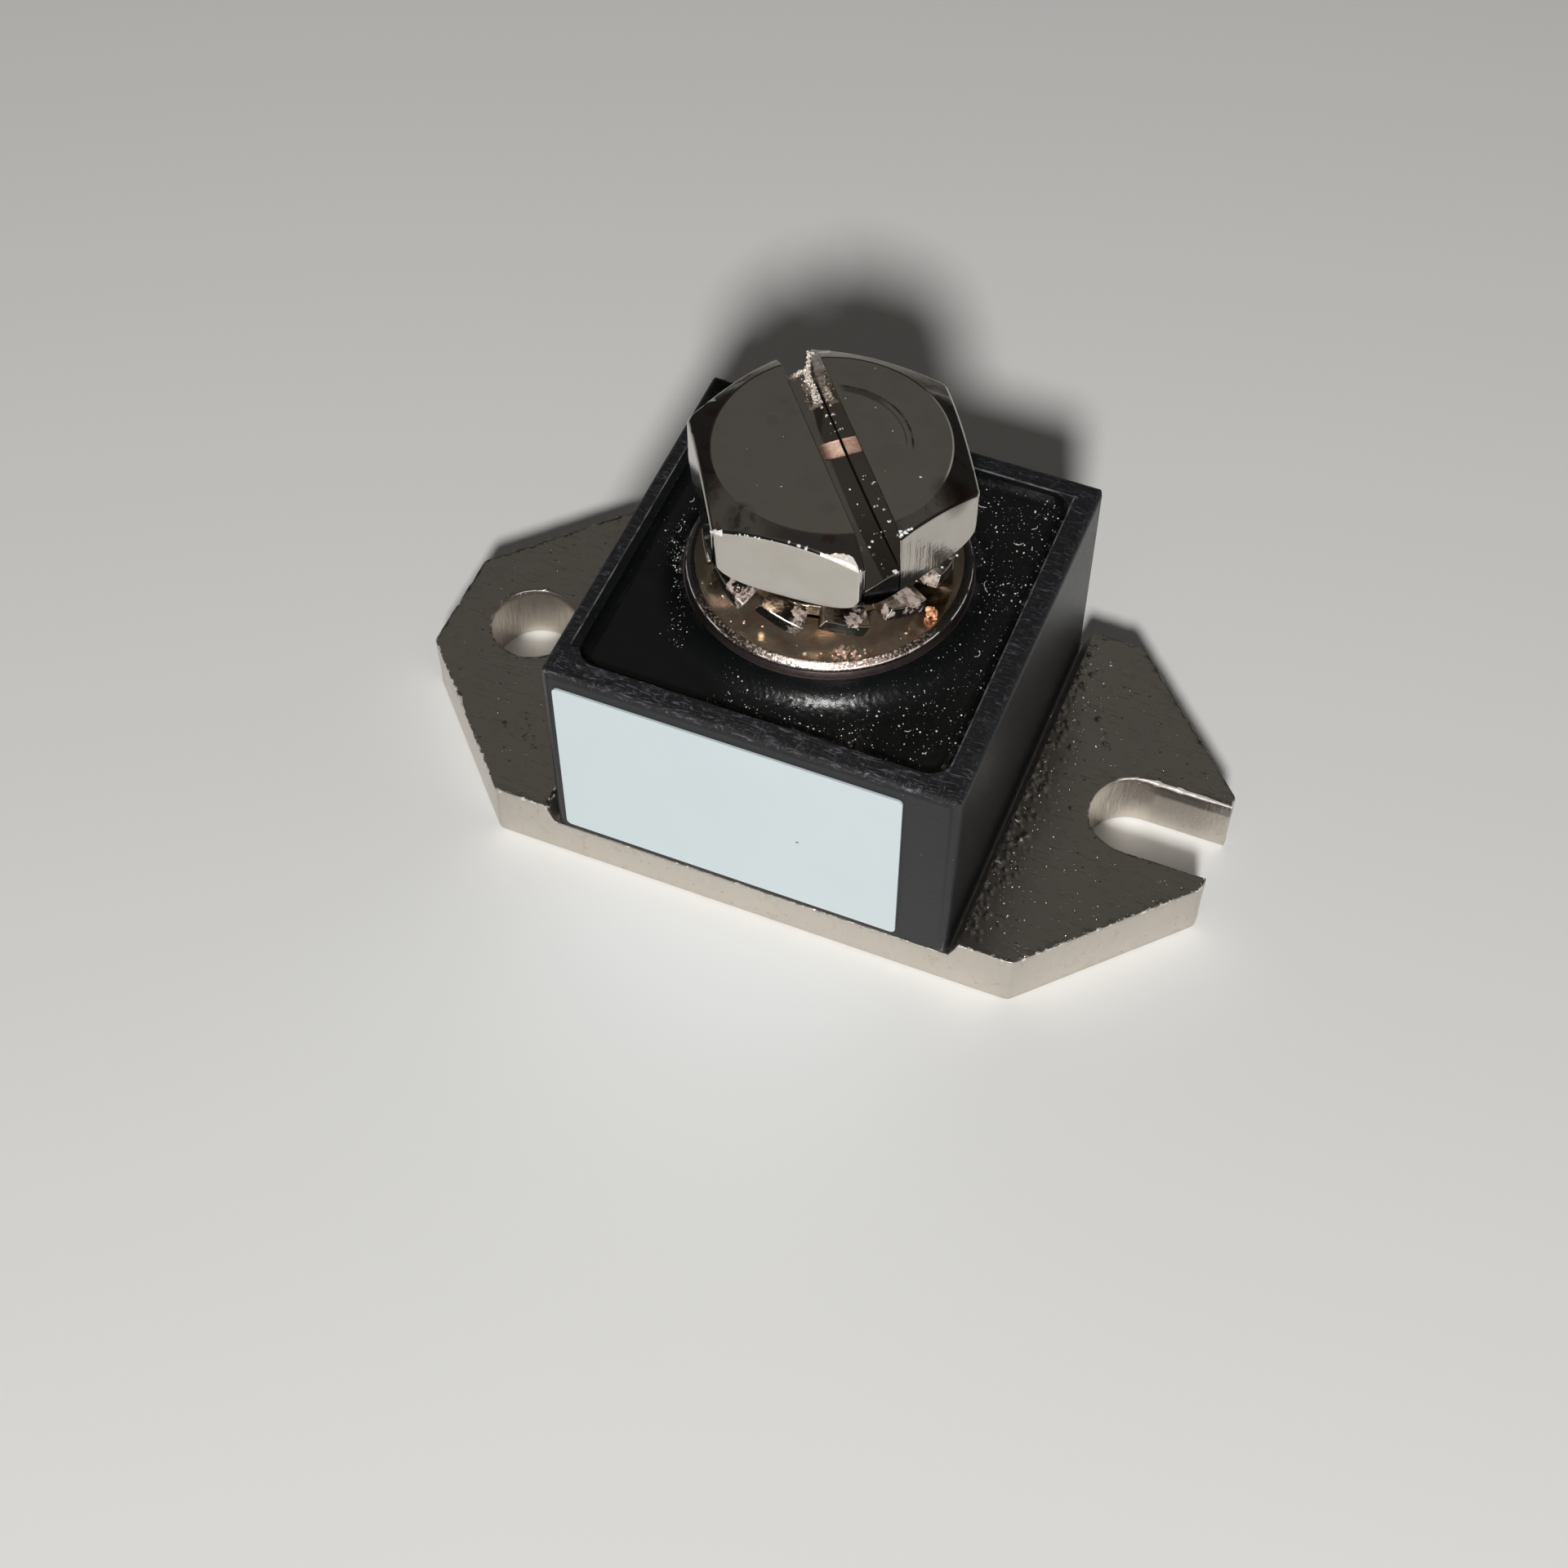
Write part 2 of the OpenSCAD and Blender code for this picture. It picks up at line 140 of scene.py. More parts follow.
class Surface:
    """A Principled material whose textures read the object's own coordinates in millimetres."""

    def __init__(self, name, **constants):
        self.material = bpy.data.materials.new(name)
        self.material.use_nodes = True
        self.tree = self.material.node_tree
        self.shader = self.tree.nodes["Principled BSDF"]
        for key, value in constants.items():
            self.shader.inputs[key.replace("_", " ")].default_value = value
        coord = new_node(self.tree, "ShaderNodeTexCoord")
        scaled = {0: coord.outputs["Object"], "Scale": PER_METRE}
        self.mm = self.node("ShaderNodeVectorMath", scaled, operation="SCALE").outputs[0]
        self.x, self.y, self.z = self.split(self.mm)
        self.nx, self.ny, self.nz = self.split(coord.outputs["Normal"])

    def node(self, kind, inputs, **settings):
        return new_node(self.tree, kind, inputs, **settings)

    def math(self, operation, *values, clamp=False):
        made = self.node("ShaderNodeMath", enumerate(values), operation=operation, use_clamp=clamp)
        return Value(self, made.outputs[0])

    def split(self, vector):
        return [Value(self, part) for part in self.node("ShaderNodeSeparateXYZ", {0: vector}).outputs]

    def radius(self):
        """Distance from the terminal's axis."""
        flat = self.node("ShaderNodeVectorMath", {0: self.mm, 1: (1, 1, 0)}, operation="MULTIPLY")
        made = self.node("ShaderNodeVectorMath", {0: flat.outputs[0]}, operation="LENGTH")
        return Value(self, made.outputs["Value"])

    def along(self, a, b):
        """Distance in the direction (a, b) of the plan."""
        return self.x * a + self.y * b

    def noise(self, per_mm, detail=3.0, rough=0.55, stretch=None, turn=0.0, warp=0.0):
        """Cloudy noise; stretch squeezes it along the axes, which turn by some degrees."""
        vector = self.mm
        if stretch:
            inputs = {"Vector": vector, "Rotation": (0, 0, math.radians(turn)), "Scale": stretch}
            vector = self.node("ShaderNodeMapping", inputs).outputs[0]
        inputs = {"Vector": vector, "Scale": per_mm, "Detail": detail, "Roughness": rough, "Distortion": warp}
        return Value(self, self.node("ShaderNodeTexNoise", inputs).outputs[0])

    def specks(self, per_mm, radius, share):
        """1 inside sparse round dots: radius in cells, share of the cells that hold one."""
        made = self.node("ShaderNodeTexVoronoi", {"Vector": self.mm, "Scale": per_mm})
        pick = self.split(made.outputs["Color"])[0]
        dot = Value(self, made.outputs["Distance"]).step(radius, radius * 0.6)
        return dot * self.math("LESS_THAN", pick, share)

    def near(self, point, radius, soft=0.5, ragged=0.0):
        """1 within a distance of a point, falling to 0; ragged breaks up its outline, in mm."""
        made = self.node("ShaderNodeVectorMath", {0: self.mm, 1: point}, operation="DISTANCE")
        distance = Value(self, made.outputs["Value"])
        if ragged:
            distance += (self.noise(3.6, 3, 0.6) - 0.5) * (2 * ragged)
        return distance.step(radius, radius * soft)

    def mix(self, factor, a, b):
        a, b = ((*colour, 1) if isinstance(colour, tuple) else colour for colour in (a, b))
        # 6 and 7 are the node's inputs for two colours, and 2 is its colour
        return self.node("ShaderNodeMix", {0: factor, 6: a, 7: b}, data_type="RGBA").outputs[2]

    def clouds(self, pattern, a, b):
        """A colour that drifts from a to b with a noise."""
        return self.mix(pattern.to(0.0, 1.0), a, b)

    def tint(self, mask, colour):
        """Lays a colour over the base colour where the mask is."""
        self.colour = self.mix(mask, self.colour, colour)

    def finish(self, rough, height=None, metallic=None):
        """Sets the shader; the height of the relief is in millimetres."""
        put(self.colour, self.shader.inputs["Base Color"])
        put(rough, self.shader.inputs["Roughness"])
        if height is not None:
            bump = self.node("ShaderNodeBump", {"Strength": 1.0, "Distance": MM, "Height": height})
            put(bump.outputs[0], self.shader.inputs["Normal"])
        if metallic is not None:
            put(metallic, self.shader.inputs["Metallic"])
        return self.material


def nickel_plate():
    """Satin nickel on the stamped plate: smooth ears, blistered step, sheared sides."""
    s = Surface("plate_nickel")
    side = 1.0 - s.nz.step(0.6, 0.9)
    grime = s.noise(1.6, 5, 0.65, warp=0.6)
    pits, fine = s.specks(2.2, 0.16, 0.35), s.specks(6.0, 0.22, 0.22)
    s.colour = s.clouds(s.noise(0.35, 3, 0.6), (0.6, 0.56, 0.51), (0.66, 0.61, 0.55))
    s.tint(grime.step(0.55, 0.75) * 0.35, (0.4, 0.33, 0.27))
    s.tint(pits * 0.5, (0.3, 0.26, 0.22))
    rough = s.noise(2.5, 4, 0.6).to(0.17, 0.3) + side * 0.14
    # sheared sides: upright tear marks, finer and paler than the face
    tears = s.noise(3.2, 4, 0.6, stretch=(1, 1, 0.22))
    scratches = s.noise(7.0, 2, 0.4, stretch=(0.12, 2.4, 1), turn=37)
    height = s.noise(5.0, 3, 0.6) * 0.004 + fine * 0.01 - pits * 0.012
    height += tears * side * 0.05 + scratches.step(0.66, 0.74) * -0.004
    # the sheared upper edges towards -Y are painted pale in dashes as painted highlights on their worn
    # plating, most of all along the slot's far edge
    edge = s.nz.step(0.985, 0.95) * s.nz.step(0.12, 0.3) * s.z.step(2.7, 2.8)
    far_slot = s.x.step(13.2, 13.8) * s.y.step(1.5, 1.8) * s.y.step(2.6, 2.4)
    dashes = s.noise(3.4, 3, 0.6).step(0.5, 0.58)
    pale = edge * (far_slot | s.y.step(2.0, -3.0) * dashes)
    s.tint(pale, (0.97, 0.91, 0.86))
    # the slot's straight walls are torn below and shaded above
    wall = abs(s.y).step(2.5, 2.3) * side
    torn = wall * s.x.step(15.3, 15.6) * s.z.step(2.35, 2.15)
    shade = wall * s.x.step(14.8, 15.6) * s.z.step(2.25, 2.4)
    rough += torn * 0.18
    height += s.noise(6.0, 3, 0.7) * torn * 0.05
    s.tint(shade * (1.0 - pale) * 0.6, (0.16, 0.15, 0.14))
    return s.finish(rough, height, 1.0 - pale * 0.45)


def terminal_nickel():
    """Bright nickel, dull and tinted on top, with painted shade on the side away from the light, and a grainy
    bevel round its rim that carries painted glints and a painted highlight streak.
    """
    s = Surface("terminal_nickel")
    r = s.radius()
    rim = r.step(5.8, 5.86) * s.z.step(14.02, 14.1)
    # forward is 1 towards the light and -1 away from it
    forward = (s.x * 0.19 - s.y * 0.98) / r
    painted_lit_side, streak = forward.step(0.42, 0.72), forward.step(0.965, 0.99)
    worn = s.noise(1.7, 4, 0.6, warp=0.8).step(0.58, 0.68) * r.step(6.2, 5.4)
    bared = s.near((2.65, -4.85, 14.4), 0.85, 0.4) * s.noise(4.5, 3, 0.7).step(0.44, 0.56)
    s.colour = s.mix(s.noise(0.9, 4, 0.6, warp=1.2).step(0.42, 0.66), (0.58, 0.49, 0.38), (0.5, 0.34, 0.24))
    s.tint(worn * 0.75, (0.66, 0.36, 0.25))
    # painted shade: the terminal is darker on the side away from the light, and darker still towards -X
    s.tint(forward.step(0.35, -0.1) * 0.62, (0.17, 0.165, 0.13))
    s.tint(forward.step(0.72, 0.3) * s.x.step(-2.0, -3.4) * 0.6, (0.14, 0.14, 0.11))
    s.tint(bared, (0.97, 0.7, 0.56))
    # the bevel is grainy; its grains are painted pale as painted glints on the side towards the light, the
    # side away from the light is painted in shade, and one smooth painted highlight streak lies where it
    # faces the light
    crumbs = s.noise(9.0, 3, 0.7)
    painted_glints = crumbs.step(0.5, 0.62) * painted_lit_side
    dull = s.mix(streak, s.mix(painted_lit_side, (0.12, 0.11, 0.1), (0.17, 0.13, 0.115)), (0.36, 0.31, 0.28))
    painted_highlight_colour = s.mix(streak, (0.93, 0.76, 0.64), (0.97, 0.93, 0.9))
    s.tint(rim, s.mix(painted_glints, dull, painted_highlight_colour))
    ledge = s.z.step(14.12, 14.06) * r.step(6.0, 6.1)
    s.tint(ledge, (0.17, 0.13, 0.135))
    # the bevel's lower edge is painted pale in broken dashes, a painted highlight line
    edge = s.z.band(14.17, 0.035, 0.012) * r.step(6.0, 6.05) * s.noise(1.1, 2, 0.5).step(0.4, 0.52)
    s.tint(edge, (0.95, 0.89, 0.85))
    duller = rim * painted_glints * 0.22 | edge * 0.6 | forward.step(0.3, 0.8) * s.z.step(14.38, 14.395) * 0.14
    rough = s.noise(3.0, 4, 0.6).to(0.1, 0.22) + (rim | bared | ledge) * 0.12
    height = crumbs * rim * 0.035 + s.noise(2.0, 3, 0.6) * 0.01 + s.math("SINE", r * 34.0) * 0.0004
    return s.finish(rough, height, 1.0 - (duller | bared * 0.5))


def washer_nickel():
    """Nickel whose teeth are torn where their ends turn down, with painted pinkish highlights there and on
    the teeth towards the label.
    """
    s = Surface("washer_nickel")
    s.colour = s.mix(s.noise(1.6, 4, 0.6).step(0.4, 0.7), (0.62, 0.57, 0.5), (0.55, 0.46, 0.38))
    # tooth runs from 0 to 1 across each tooth; 48 keeps it above 0
    turn = s.math("ARCTAN2", s.y, s.x)
    start = 48.0 + TEETH * (TOOTH_TURN + 15) / 360
    tooth = s.math("FRACT", s.math("MULTIPLY_ADD", turn, TEETH / math.tau, start))
    ragged = s.noise(2.6, 3, 0.6) - 0.5
    torn = (tooth + ragged * 0.5).step(0.66, 0.72) * (s.radius() + ragged * 1.2).step(4.5, 4.75)
    torn *= s.noise(0.45, 1, 0.5).step(0.46, 0.54)
    ribs = s.noise(7.0, 3, 0.65, stretch=(1.0, 0.35, 1), turn=20).step(0.44, 0.58)
    # painted highlight: the torn ends of the teeth are painted pinkish white in ribs, for the glints that
    # they catch
    s.tint(torn, s.mix(ribs, (0.5, 0.36, 0.31), (0.94, 0.82, 0.77)))
    # painted highlights on the torn faces of the teeth towards the label
    glint_places = (((4.45, -2.4, 16.2), 0.62), ((4.95, -1.1, 16.3), 0.42), ((3.9, -3.5, 16.3), 0.3),
              ((-2.65, -4.62, 16.2), 0.24), ((0.55, -4.9, 16.1), 0.36), ((2.75, -4.35, 16.1), 0.34))
    faces = 0.0
    for place, reach in glint_places:
        faces = s.near(place, reach, 0.8, ragged=0.55) | faces
    glint_breakup = s.noise(3.0, 3, 0.6)
    faces *= glint_breakup.step(0.34, 0.44)
    s.tint(faces, s.mix(glint_breakup.step(0.42, 0.56), (0.62, 0.46, 0.4), (0.97, 0.86, 0.81)))
    rough = s.noise(4.0, 4, 0.6).to(0.12, 0.24) + torn * 0.2
    height = s.noise(6.0, 4, 0.6) * torn.to(0.007, 0.04) + s.noise(1.5, 2) * 0.02
    return s.finish(rough, height, 1.0 - (torn * ribs * 0.45 | faces * 0.5))


def screw_nickel():
    """Mirror-like nickel: clean top with a faint punched arc, draw marks on one flat."""
    s = Surface("screw_nickel")
    r = s.radius()
    top = s.z.step(21.28, 21.35)
    s.colour = s.mix(s.noise(0.6, 4, 0.6).step(0.35, 0.75), (0.63, 0.59, 0.54), (0.58, 0.54, 0.49))
    smudge = s.near((-2.79, 0.31, 21.4), 0.36) + s.near((1.17, -3.31, 21.4), 0.5, 0.1)
    smudge += s.near((-2.1, 1.0, 21.4), 0.3, 0.1) + s.near((-2.7, 1.5, 21.4), 0.25, 0.1)
    s.tint(s.math("MULTIPLY", smudge, 0.25, clamp=True), (0.36, 0.32, 0.28))
    # the chamfer is painted dark as a painted dark reflection and red in patches, with painted green and
    # brown reflections in two places
    chamfer = s.nz.band(0.87, 0.09, 0.03) * s.z.step(20.2, 20.4)
    red_patches = s.noise(0.9, 4, 0.65, warp=0.7).step(0.52, 0.62)
    ragged = s.noise(2.0, 3, 0.6, warp=0.6).step(0.38, 0.58)
    s.tint(chamfer * 0.3, (0.1, 0.09, 0.08))
    s.tint(red_patches * chamfer * 0.6, (0.34, 0.15, 0.11))
    s.tint(s.near((-1.95, -5.0, 21.1), 0.85, 0.4) * ragged * 0.8, (0.1, 0.12, 0.1))
    s.tint(s.near((5.35, -0.55, 20.9), 1.1, 0.4) * 0.7, (0.16, 0.13, 0.11))
    # a double arc is punched on the side of the slot that faces +X
    broken = s.noise(2.4, 3, 0.6).step(0.38, 0.56).to(0.35, 1.0)
    arc = r.band(3.31, 0.075, 0.02) * broken | r.band(3.05, 0.05, 0.01) * 0.55
    arc |= r.band(3.17, 0.22, 0.12) * s.x.step(1.6, 0.6) * 0.6
    arc *= s.along(0.772, 0.636).step(1.2, 1.6) * top * s.y.step(0.8, 1.3)
    s.tint(arc * 0.85, (0.12, 0.1, 0.09))
    # a painted highlight line along the right part of the top's edge
    thin = r.band(4.965, 0.05, 0.02) * s.z.step(21.28, 21.32) * s.x.step(2.2, 3.2) * s.y.step(-0.5, 0.5)
    s.tint(thin, (0.9, 0.87, 0.82))
    # across and along are the driver slot's own directions; its walls and floor are as smooth as a mirror
    across = abs(s.along(0.7716, 0.6361) - SLOT_OFFSET)
    along = s.y * 0.7716 - s.x * 0.6361
    sawn = across.step(0.98, 0.93) * s.z.step(21.36, 21.3)
    wall = sawn * abs(s.nz).step(0.5, 0.1)
    smeared = wall * along.step(4.2, 4.5) * along.step(6.1, 5.9)
    foot = across.step(0.86, 0.875) * sawn * s.z.step(19.24, 19.14)
    # painted shade: the slot's floor and walls are painted darker, the walls more, with a painted dark line
    # along the +X wall's foot
    s.tint(sawn * wall.to(0.25, 0.5), (0.2, 0.165, 0.14))
    s.tint(smeared * 0.75, (0.06, 0.05, 0.045))
    s.tint(foot * 0.85, (0.03, 0.026, 0.024))
    rough = (s.noise(2.0, 4, 0.6).to(0.06, 0.12) + top * 0.05) * sawn.to(1.0, 0.6) + (arc | smeared) * 0.2
    # draw marks on the flat that faces +X -Y
    facing = (s.nx * 0.887 + s.ny * -0.462).step(0.985, 0.998)
    across_flat = s.along(0.462, 0.887)
    where = across_flat.step(-1.9, -1.2) * across_flat.step(1.7, 0.6) * facing
    draws = s.noise(5.5, 2, 0.5, stretch=(1, 1, 0.015))
    height = s.noise(2.2, 2, 0.5) * sawn.to(0.004, 0.0008) + draws * where * 0.01
    return s.finish(rough, height, 1.0 - thin * 0.25)


def frame_plastic():
    """Black moulded plastic: satin sides with sparse sparkles, scuffed fibrous rim."""
    s = Surface("frame_plastic", IOR=1.42)
    up = s.nz.step(0.2, 0.8) * s.z.step(12.35, 12.75)
    fibres = s.noise(4.0, 5, 0.7, stretch=(0.35, 1.7, 1), turn=12, warp=1.5)
    cross = s.noise(4.0, 5, 0.7, stretch=(1.7, 0.35, 1), turn=-9, warp=1.5)
    front, corner = s.y.step(-8.2, -8.6), s.near((9.2, -9.2, 13.1), 2.2, 0.2)
    amount = s.math("ADD", front.to(0.4, 0.85), corner, clamp=True)
    scuff = (fibres.step(0.52, 0.7) | cross.step(0.56, 0.74) * 0.8) * up * amount
    sparkle = s.specks(3.0, 0.1, 0.12)
    s.colour = s.clouds(s.noise(1.0, 3), (0.006, 0.0065, 0.008), (0.01, 0.011, 0.013))
    s.tint(scuff, (0.2, 0.19, 0.22))
    s.tint(sparkle * 0.7, (0.3, 0.3, 0.31))
    rough = s.noise(2.0, 3).to(0.3, 0.42) + up * 0.22
    height = s.noise(7.0, 4, 0.65) * 0.012 + fibres * up * 0.05 + sparkle * 0.02
    # resin has crept over the inner part of the -X rim
    crept = s.x.step(-8.8, -8.76) * s.x.step(-8.2, -8.3) * s.z.step(13.0, 13.05) * s.y.step(-7.9, -7.7)
    s.tint(crept, (0.005, 0.0056, 0.006))
    rough *= crept.to(1.0, 0.4)
    # a fine pale line runs round the resin's edge on three sides
    line = abs(s.x + 8.81).step(0.045, 0.015) * s.y.step(-7.8, -7.6)
    line |= s.x.band(8.44, 0.05, 0.015) * s.y.step(-7.9, -7.6)
    line |= s.y.band(8.44, 0.05, 0.015) * s.x.step(-8.5, -8.3)
    line *= s.z.step(13.02, 13.06) * s.y.step(8.55, 8.5) * s.x.step(8.6, 8.55)
    line *= s.noise(1.3, 3, 0.6).step(0.4, 0.6).to(0.25, 1.0)
    s.tint(line, (0.17, 0.18, 0.19))
    return s.finish(rough, height)


def casting_resin():
    """Glossy black resin: smooth in one corner, pebbled elsewhere, duller on its collar."""
    s = Surface("casting_resin", IOR=1.48)
    pebbled = 1.0 - s.near((-6.5, -6.5, 12.5), 4.6, 0.7)
    grain = s.specks(6.5, 0.15, 0.25) * pebbled
    collar = s.radius().step(8.1, 7.5)
    s.colour = s.clouds(s.noise(0.8, 3), (0.003, 0.0036, 0.0036), (0.006, 0.0068, 0.0068))
    s.tint(grain * 0.8, (0.13, 0.14, 0.14))
    rough = s.noise(1.2, 3).to(0.1, 0.18) + pebbled * 0.08 + (grain * 0.2 | collar * 0.09)
    height = s.noise(5.0, 3, 0.6) * pebbled.to(0.003, 0.014) + s.noise(13.0, 2, 0.6) * collar * 0.01
    return s.finish(rough, height)


def label_film():
    """Satin white film, with one speck of dirt."""
    s = Surface("label_film", IOR=1.48, Coat_Roughness=0.3)
    s.colour = s.clouds(s.noise(0.25, 2), (0.55, 0.62, 0.65), (0.575, 0.645, 0.67))
    s.tint(s.near((2.4, -9.65, 6.9), 0.09, 0.5), (0.1, 0.1, 0.1))
    return s.finish(s.noise(3.0, 3).to(0.38, 0.48), s.noise(9.0, 3) * 0.0015 + s.noise(0.5, 2) * 0.01)


def inner(name, a, b, metallic, rough, **more):
    """A plain finish with some variation, for the pieces held inside."""
    s = Surface(name, Metallic=metallic, **more)
    s.colour = s.clouds(s.noise(1.5, 4), a, b)
    return s.finish(s.noise(4.0, 3).to(rough * 0.8, rough * 1.2), s.noise(6.0, 3) * 0.006)


def bare(name, a, b, rough_low, rough_high, relief, metallic):
    """Torn or bared metal, streaked from a to b."""
    s = Surface(name, Metallic=metallic)
    streaks = s.noise(5.0, 4, 0.65, stretch=(2.2, 0.5, 1), turn=50, warp=0.6)
    s.colour = s.mix(streaks.step(0.38, 0.66), a, b)
    return s.finish(s.noise(6.0, 3).to(rough_low, rough_high), streaks * relief)


def pale_speck():
    """Dust, filler grains and fibres."""
    s = Surface("pale_speck", IOR=1.5)
    s.colour = s.clouds(s.noise(3.0, 2), (0.62, 0.62, 0.61), (0.8, 0.8, 0.79))
    return s.finish(s.noise(5.0, 2).to(0.35, 0.5), s.noise(20.0, 2) * 0.004)


MATERIALS = {
    "base_plate": nickel_plate(),
    "terminal": terminal_nickel(),
    "lock_washer": washer_nickel(),
    "terminal_screw": screw_nickel(),
    "housing_frame": frame_plastic(),
    "potting_resin": casting_resin(),
    "label": label_film(),
    "frame_adhesive": inner("black_adhesive", (0.01, 0.01, 0.011), (0.02, 0.02, 0.021), 0.0, 0.5),
    "schottky_die": inner("metallised_silicon", (0.3, 0.31, 0.34), (0.24, 0.25, 0.28), 1.0, 0.2),
    "buffer_plate": inner("molybdenum", (0.58, 0.57, 0.56), (0.5, 0.5, 0.5), 1.0, 0.35),
    "contact_strap": inner("rolled_copper", (0.75, 0.42, 0.3), (0.66, 0.34, 0.24), 1.0, 0.28),
    "silicone_gel": inner("silicone_gel", (0.8, 0.82, 0.82), (0.86, 0.87, 0.86), 0.0, 0.1,
                          Transmission_Weight=0.9, IOR=1.41),
}
SOLDER = inner("soft_solder", (0.66, 0.67, 0.68), (0.55, 0.56, 0.57), 1.0, 0.4)
SPECK = pale_speck()
BARE_COPPER = bare("bare_copper", (0.9, 0.5, 0.38), (0.98, 0.78, 0.66), 0.34, 0.5, 0.04, 0.05)
BEAD_COPPER = bare("bead_copper", (0.8, 0.34, 0.18), (0.98, 0.62, 0.36), 0.25, 0.4, 0.03, 0.45)
TORN_NICKEL = bare("torn_nickel", (0.86, 0.77, 0.69), (0.95, 0.9, 0.85), 0.28, 0.42, 0.02, 0.4)
SMEARED = bare("smeared_plating", (0.2, 0.16, 0.13), (0.46, 0.39, 0.31), 0.35, 0.5, 0.04, 0.5)

for name, node in nodes.items():
    node.data.materials.clear()
    node.data.materials.append(MATERIALS.get(name, SOLDER))


# Pieces made from points in millimetres

def new_object(name, data):
    made = bpy.data.objects.new(name, data)
    bpy.context.scene.collection.objects.link(made)
    return made


def placed(name, mesh, material, crease):
    """Puts a mesh in the scene on the root, smooth but for its edges over crease degrees."""
    mesh.shade_smooth()
    mesh.set_sharp_from_angle(angle=math.radians(crease))
    mesh.materials.append(material)
    made = new_object(name, mesh)
    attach(made, "root")
    return made


def piece(name, verts, faces, material, crease=40):
    mesh = bpy.data.meshes.new(name)
    mesh.from_pydata([Vector(v) * MM for v in verts], [], faces)
    mesh.update()
    return placed(name, mesh, material, crease)


def ease(value, low, high):
    """0 at low, 1 at high, smooth between."""
    t = min(1.0, max(0.0, (value - low) / (high - low)))
    return t * t * (3 - 2 * t)


def ripple(x, y, z=0.0):
    return noise.noise(Vector((x, y, z)))


def cos_sin(degrees):
    a = math.radians(degrees)
    return math.cos(a), math.sin(a)


def welded(node):
    """The node's mesh in millimetres, with its doubled corners joined."""
    bm = bmesh.new()
    bm.from_mesh(nodes[node].data)
    bmesh.ops.scale(bm, vec=[PER_METRE] * 3, verts=bm.verts)
    bmesh.ops.remove_doubles(bm, verts=bm.verts, dist=0.0005)
    return bm


def refined(node, weigh, width, segments=3, crease=24, shaped=None):
    """A copy of a node whose sharp outer edges are rounded by their weights; it replaces the node."""
    bm = welded(node)
    bmesh.ops.dissolve_limit(bm, angle_limit=math.radians(0.3), verts=bm.verts, edges=bm.edges)
    if shaped:
        for vert in bm.verts:
            vert.co = shaped(vert.co)
    weight = bm.edges.layers.float.new("bevel_weight_edge")
    for edge in bm.edges:
        if edge.is_manifold and edge.calc_face_angle() > math.radians(24):
            edge[weight] = weigh(edge)
    bmesh.ops.scale(bm, vec=[MM] * 3, verts=bm.verts)
    mesh = bpy.data.meshes.new(node + "_refined")
    bm.to_mesh(mesh)
    bm.free()
    mesh.attributes.remove(mesh.attributes["custom_normal"])
    made = placed(node + "_refined", mesh, MATERIALS[node], crease)
    bevel = made.modifiers.new("rounding", "BEVEL")
    bevel.limit_method = "WEIGHT"
    bevel.width = width * MM
    bevel.segments = segments
    bevel.use_clamp_overlap = False
    weighted = made.modifiers.new("shading", "WEIGHTED_NORMAL")
    weighted.keep_sharp = True
    weighted.weight = 100
    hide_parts(node)


def grains(name, spots, material, seed, rough=0.35):
    """Small irregular lumps: each spot is (place, radius), sunk into what it sits on."""
    rng = random.Random(seed)
    ball = bmesh.new()
    bmesh.ops.create_icosphere(ball, subdivisions=1, radius=1.0)
    shape = [v.co.copy() for v in ball.verts]
    tris = [[v.index for v in f.verts] for f in ball.faces]
    ball.free()
    verts, faces = [], []
    for place, radius in spots:
        base = len(verts)
        stretch = Vector([rng.uniform(0.7, 1.35) for _ in range(3)])
        turn = Matrix.Rotation(rng.uniform(0, math.tau), 3, "Z") @ Matrix.Rotation(rng.uniform(0, 1), 3, "X")
        for p in shape:
            q = turn @ Vector([a * b for a, b in zip(p, stretch)])
            verts.append(Vector(place) + q * radius * (1 + rng.uniform(-rough, rough)))
        faces += [[i + base for i in t] for t in tris]
    piece(name, verts, faces, material, crease=25)


def tube(path, radius, sides=6):
    """Points and faces of a thin closed tube along a path."""
    verts, faces = [], []
    for i, p in enumerate(path):
        along = (path[min(i + 1, len(path) - 1)] - path[max(i - 1, 0)]).normalized()
        side = along.orthogonal().normalized()
        other = along.cross(side)
        r = radius * math.sin(math.pi * (i + 0.6) / (len(path) + 0.2)) ** 0.35
        for k in range(sides):
            a = math.tau * k / sides
            verts.append(p + (side * math.cos(a) + other * math.sin(a)) * r)
        if i:
            b = (i - 1) * sides
            faces += [(b + k, b + (k + 1) % sides, b + sides + (k + 1) % sides, b + sides + k)
                      for k in range(sides)]
    faces.append(tuple(reversed(range(sides))))
    last = (len(path) - 1) * sides
    faces.append(tuple(last + k for k in range(sides)))
    return verts, faces


def grid_faces(columns, high, base=0, closed=True):
    """Faces between neighbouring columns of high points each; closed joins the last column to the first."""
    faces = []
    for i in range(columns if closed else columns - 1):
        here, following = base + i * high, base + (i + 1) % columns * high
        faces += [(here + k, following + k, following + k + 1, here + k + 1) for k in range(high - 1)]
    return faces


